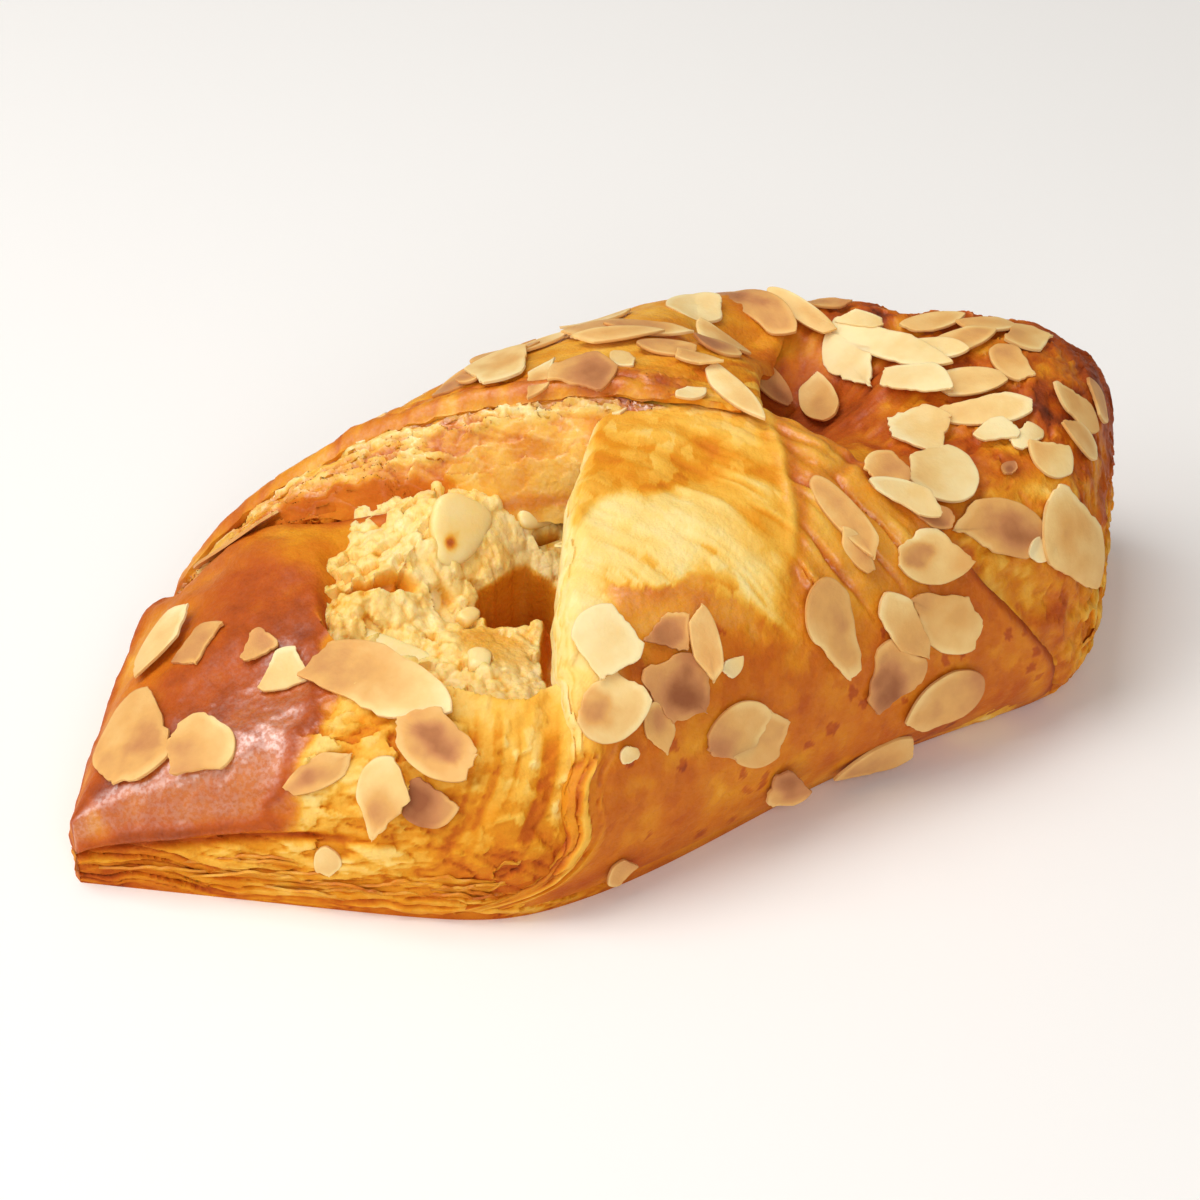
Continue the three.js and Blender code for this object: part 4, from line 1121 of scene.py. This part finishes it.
almond_finish = almond_material()
slices = []
for number, (x, turn, length, width, spin, layer, tilt, toast, heart, *lost) in enumerate(FLAKES):
    lift = cover_lift(x, turn)
    big, mid = lumps(skin(x, turn, lift)[None], (13, 5.5))
    lift += 0.45 * big[0] + 0.18 * mid[0]
    lift += 0.3 + 0.5 * layer + 0.02 * length
    lift += 0.25 if turn < 135 and in_back(x, turn) else 0
    slices.append(flake_slice(x, turn, length, width, spin, lift, tilt, toast, heart, lost, number + 1))
flakes = flakes_piece("flaked_almonds", slices)
put_in_frame(flakes, "pastry", almond_finish)

# The table is a pale, smooth studio sweep. It is lit by one large soft panel overhead, another from the left and a
# fill from the front, in a room with pale walls.
bpy.ops.object.select_all(action="DESELECT")
bpy.ops.mesh.primitive_plane_add(size=6, location=(0, 0, 0))
table = bpy.context.object
table.name = "table"
table_finish, table_tree = new_material("pale_table")
feed(table_tree, table_tree.nodes["Principled BSDF"], {"Base Color": tone(252, 251, 250), "Roughness": 0.8})
table.data.materials.append(table_finish)

scene = bpy.context.scene
scene.view_settings.view_transform = "Standard"
world = bpy.data.worlds.new("studio")
scene.world = world
world.use_nodes = True
WARM_WHITE = (1.0, 0.975, 0.94)
feed(world.node_tree, world.node_tree.nodes["Background"], {"Color": (*WARM_WHITE, 1), "Strength": 0.27})


def panel(name, place, aim, size, power):
    # A soft light panel, turned to its aim.
    lamp = bpy.data.lights.new(name, "AREA")
    lamp.shape = "RECTANGLE"
    lamp.size, lamp.size_y = size
    lamp.energy = power
    lamp.color = WARM_WHITE
    held = bpy.data.objects.new(name, lamp)
    scene.collection.objects.link(held)
    held.location = place
    way = np.array(aim) - np.array(place)
    flat = math.hypot(way[0], way[1])
    held.rotation_euler = (math.atan2(flat, -way[2]), 0, math.atan2(way[1], way[0]) - math.pi / 2)


panel("top_panel", (-0.2, 0.17, 0.78), (0, 0, 0.02), (0.5, 0.45), 3.2)
panel("left_panel", (-0.65, 0.15, 0.45), (0, 0, 0.02), (0.6, 0.6), 2.6)
panel("front_panel", (-0.4, -0.85, 0.6), (0, 0, 0.02), (0.5, 0.5), 4.0)

# The camera has a long lens and stands where the photograph was taken from: to the left of the front, and well
# above the table.
AZIMUTH, ELEVATION, DISTANCE = math.radians(-32), math.radians(35), 0.4
aim = np.array([-0.0026, 0, 0.014])
way_back = np.array([
    math.sin(AZIMUTH) * math.cos(ELEVATION), -math.cos(AZIMUTH) * math.cos(ELEVATION), math.sin(ELEVATION),
])
lens = bpy.data.cameras.new("camera")
lens.sensor_width = 36
lens.lens = 93.6
lens.shift_y = 10 / 1200
camera = bpy.data.objects.new("camera", lens)
scene.collection.objects.link(camera)
camera.location = aim + DISTANCE * way_back
camera.rotation_euler = (math.pi / 2 - ELEVATION, 0, AZIMUTH)
scene.camera = camera
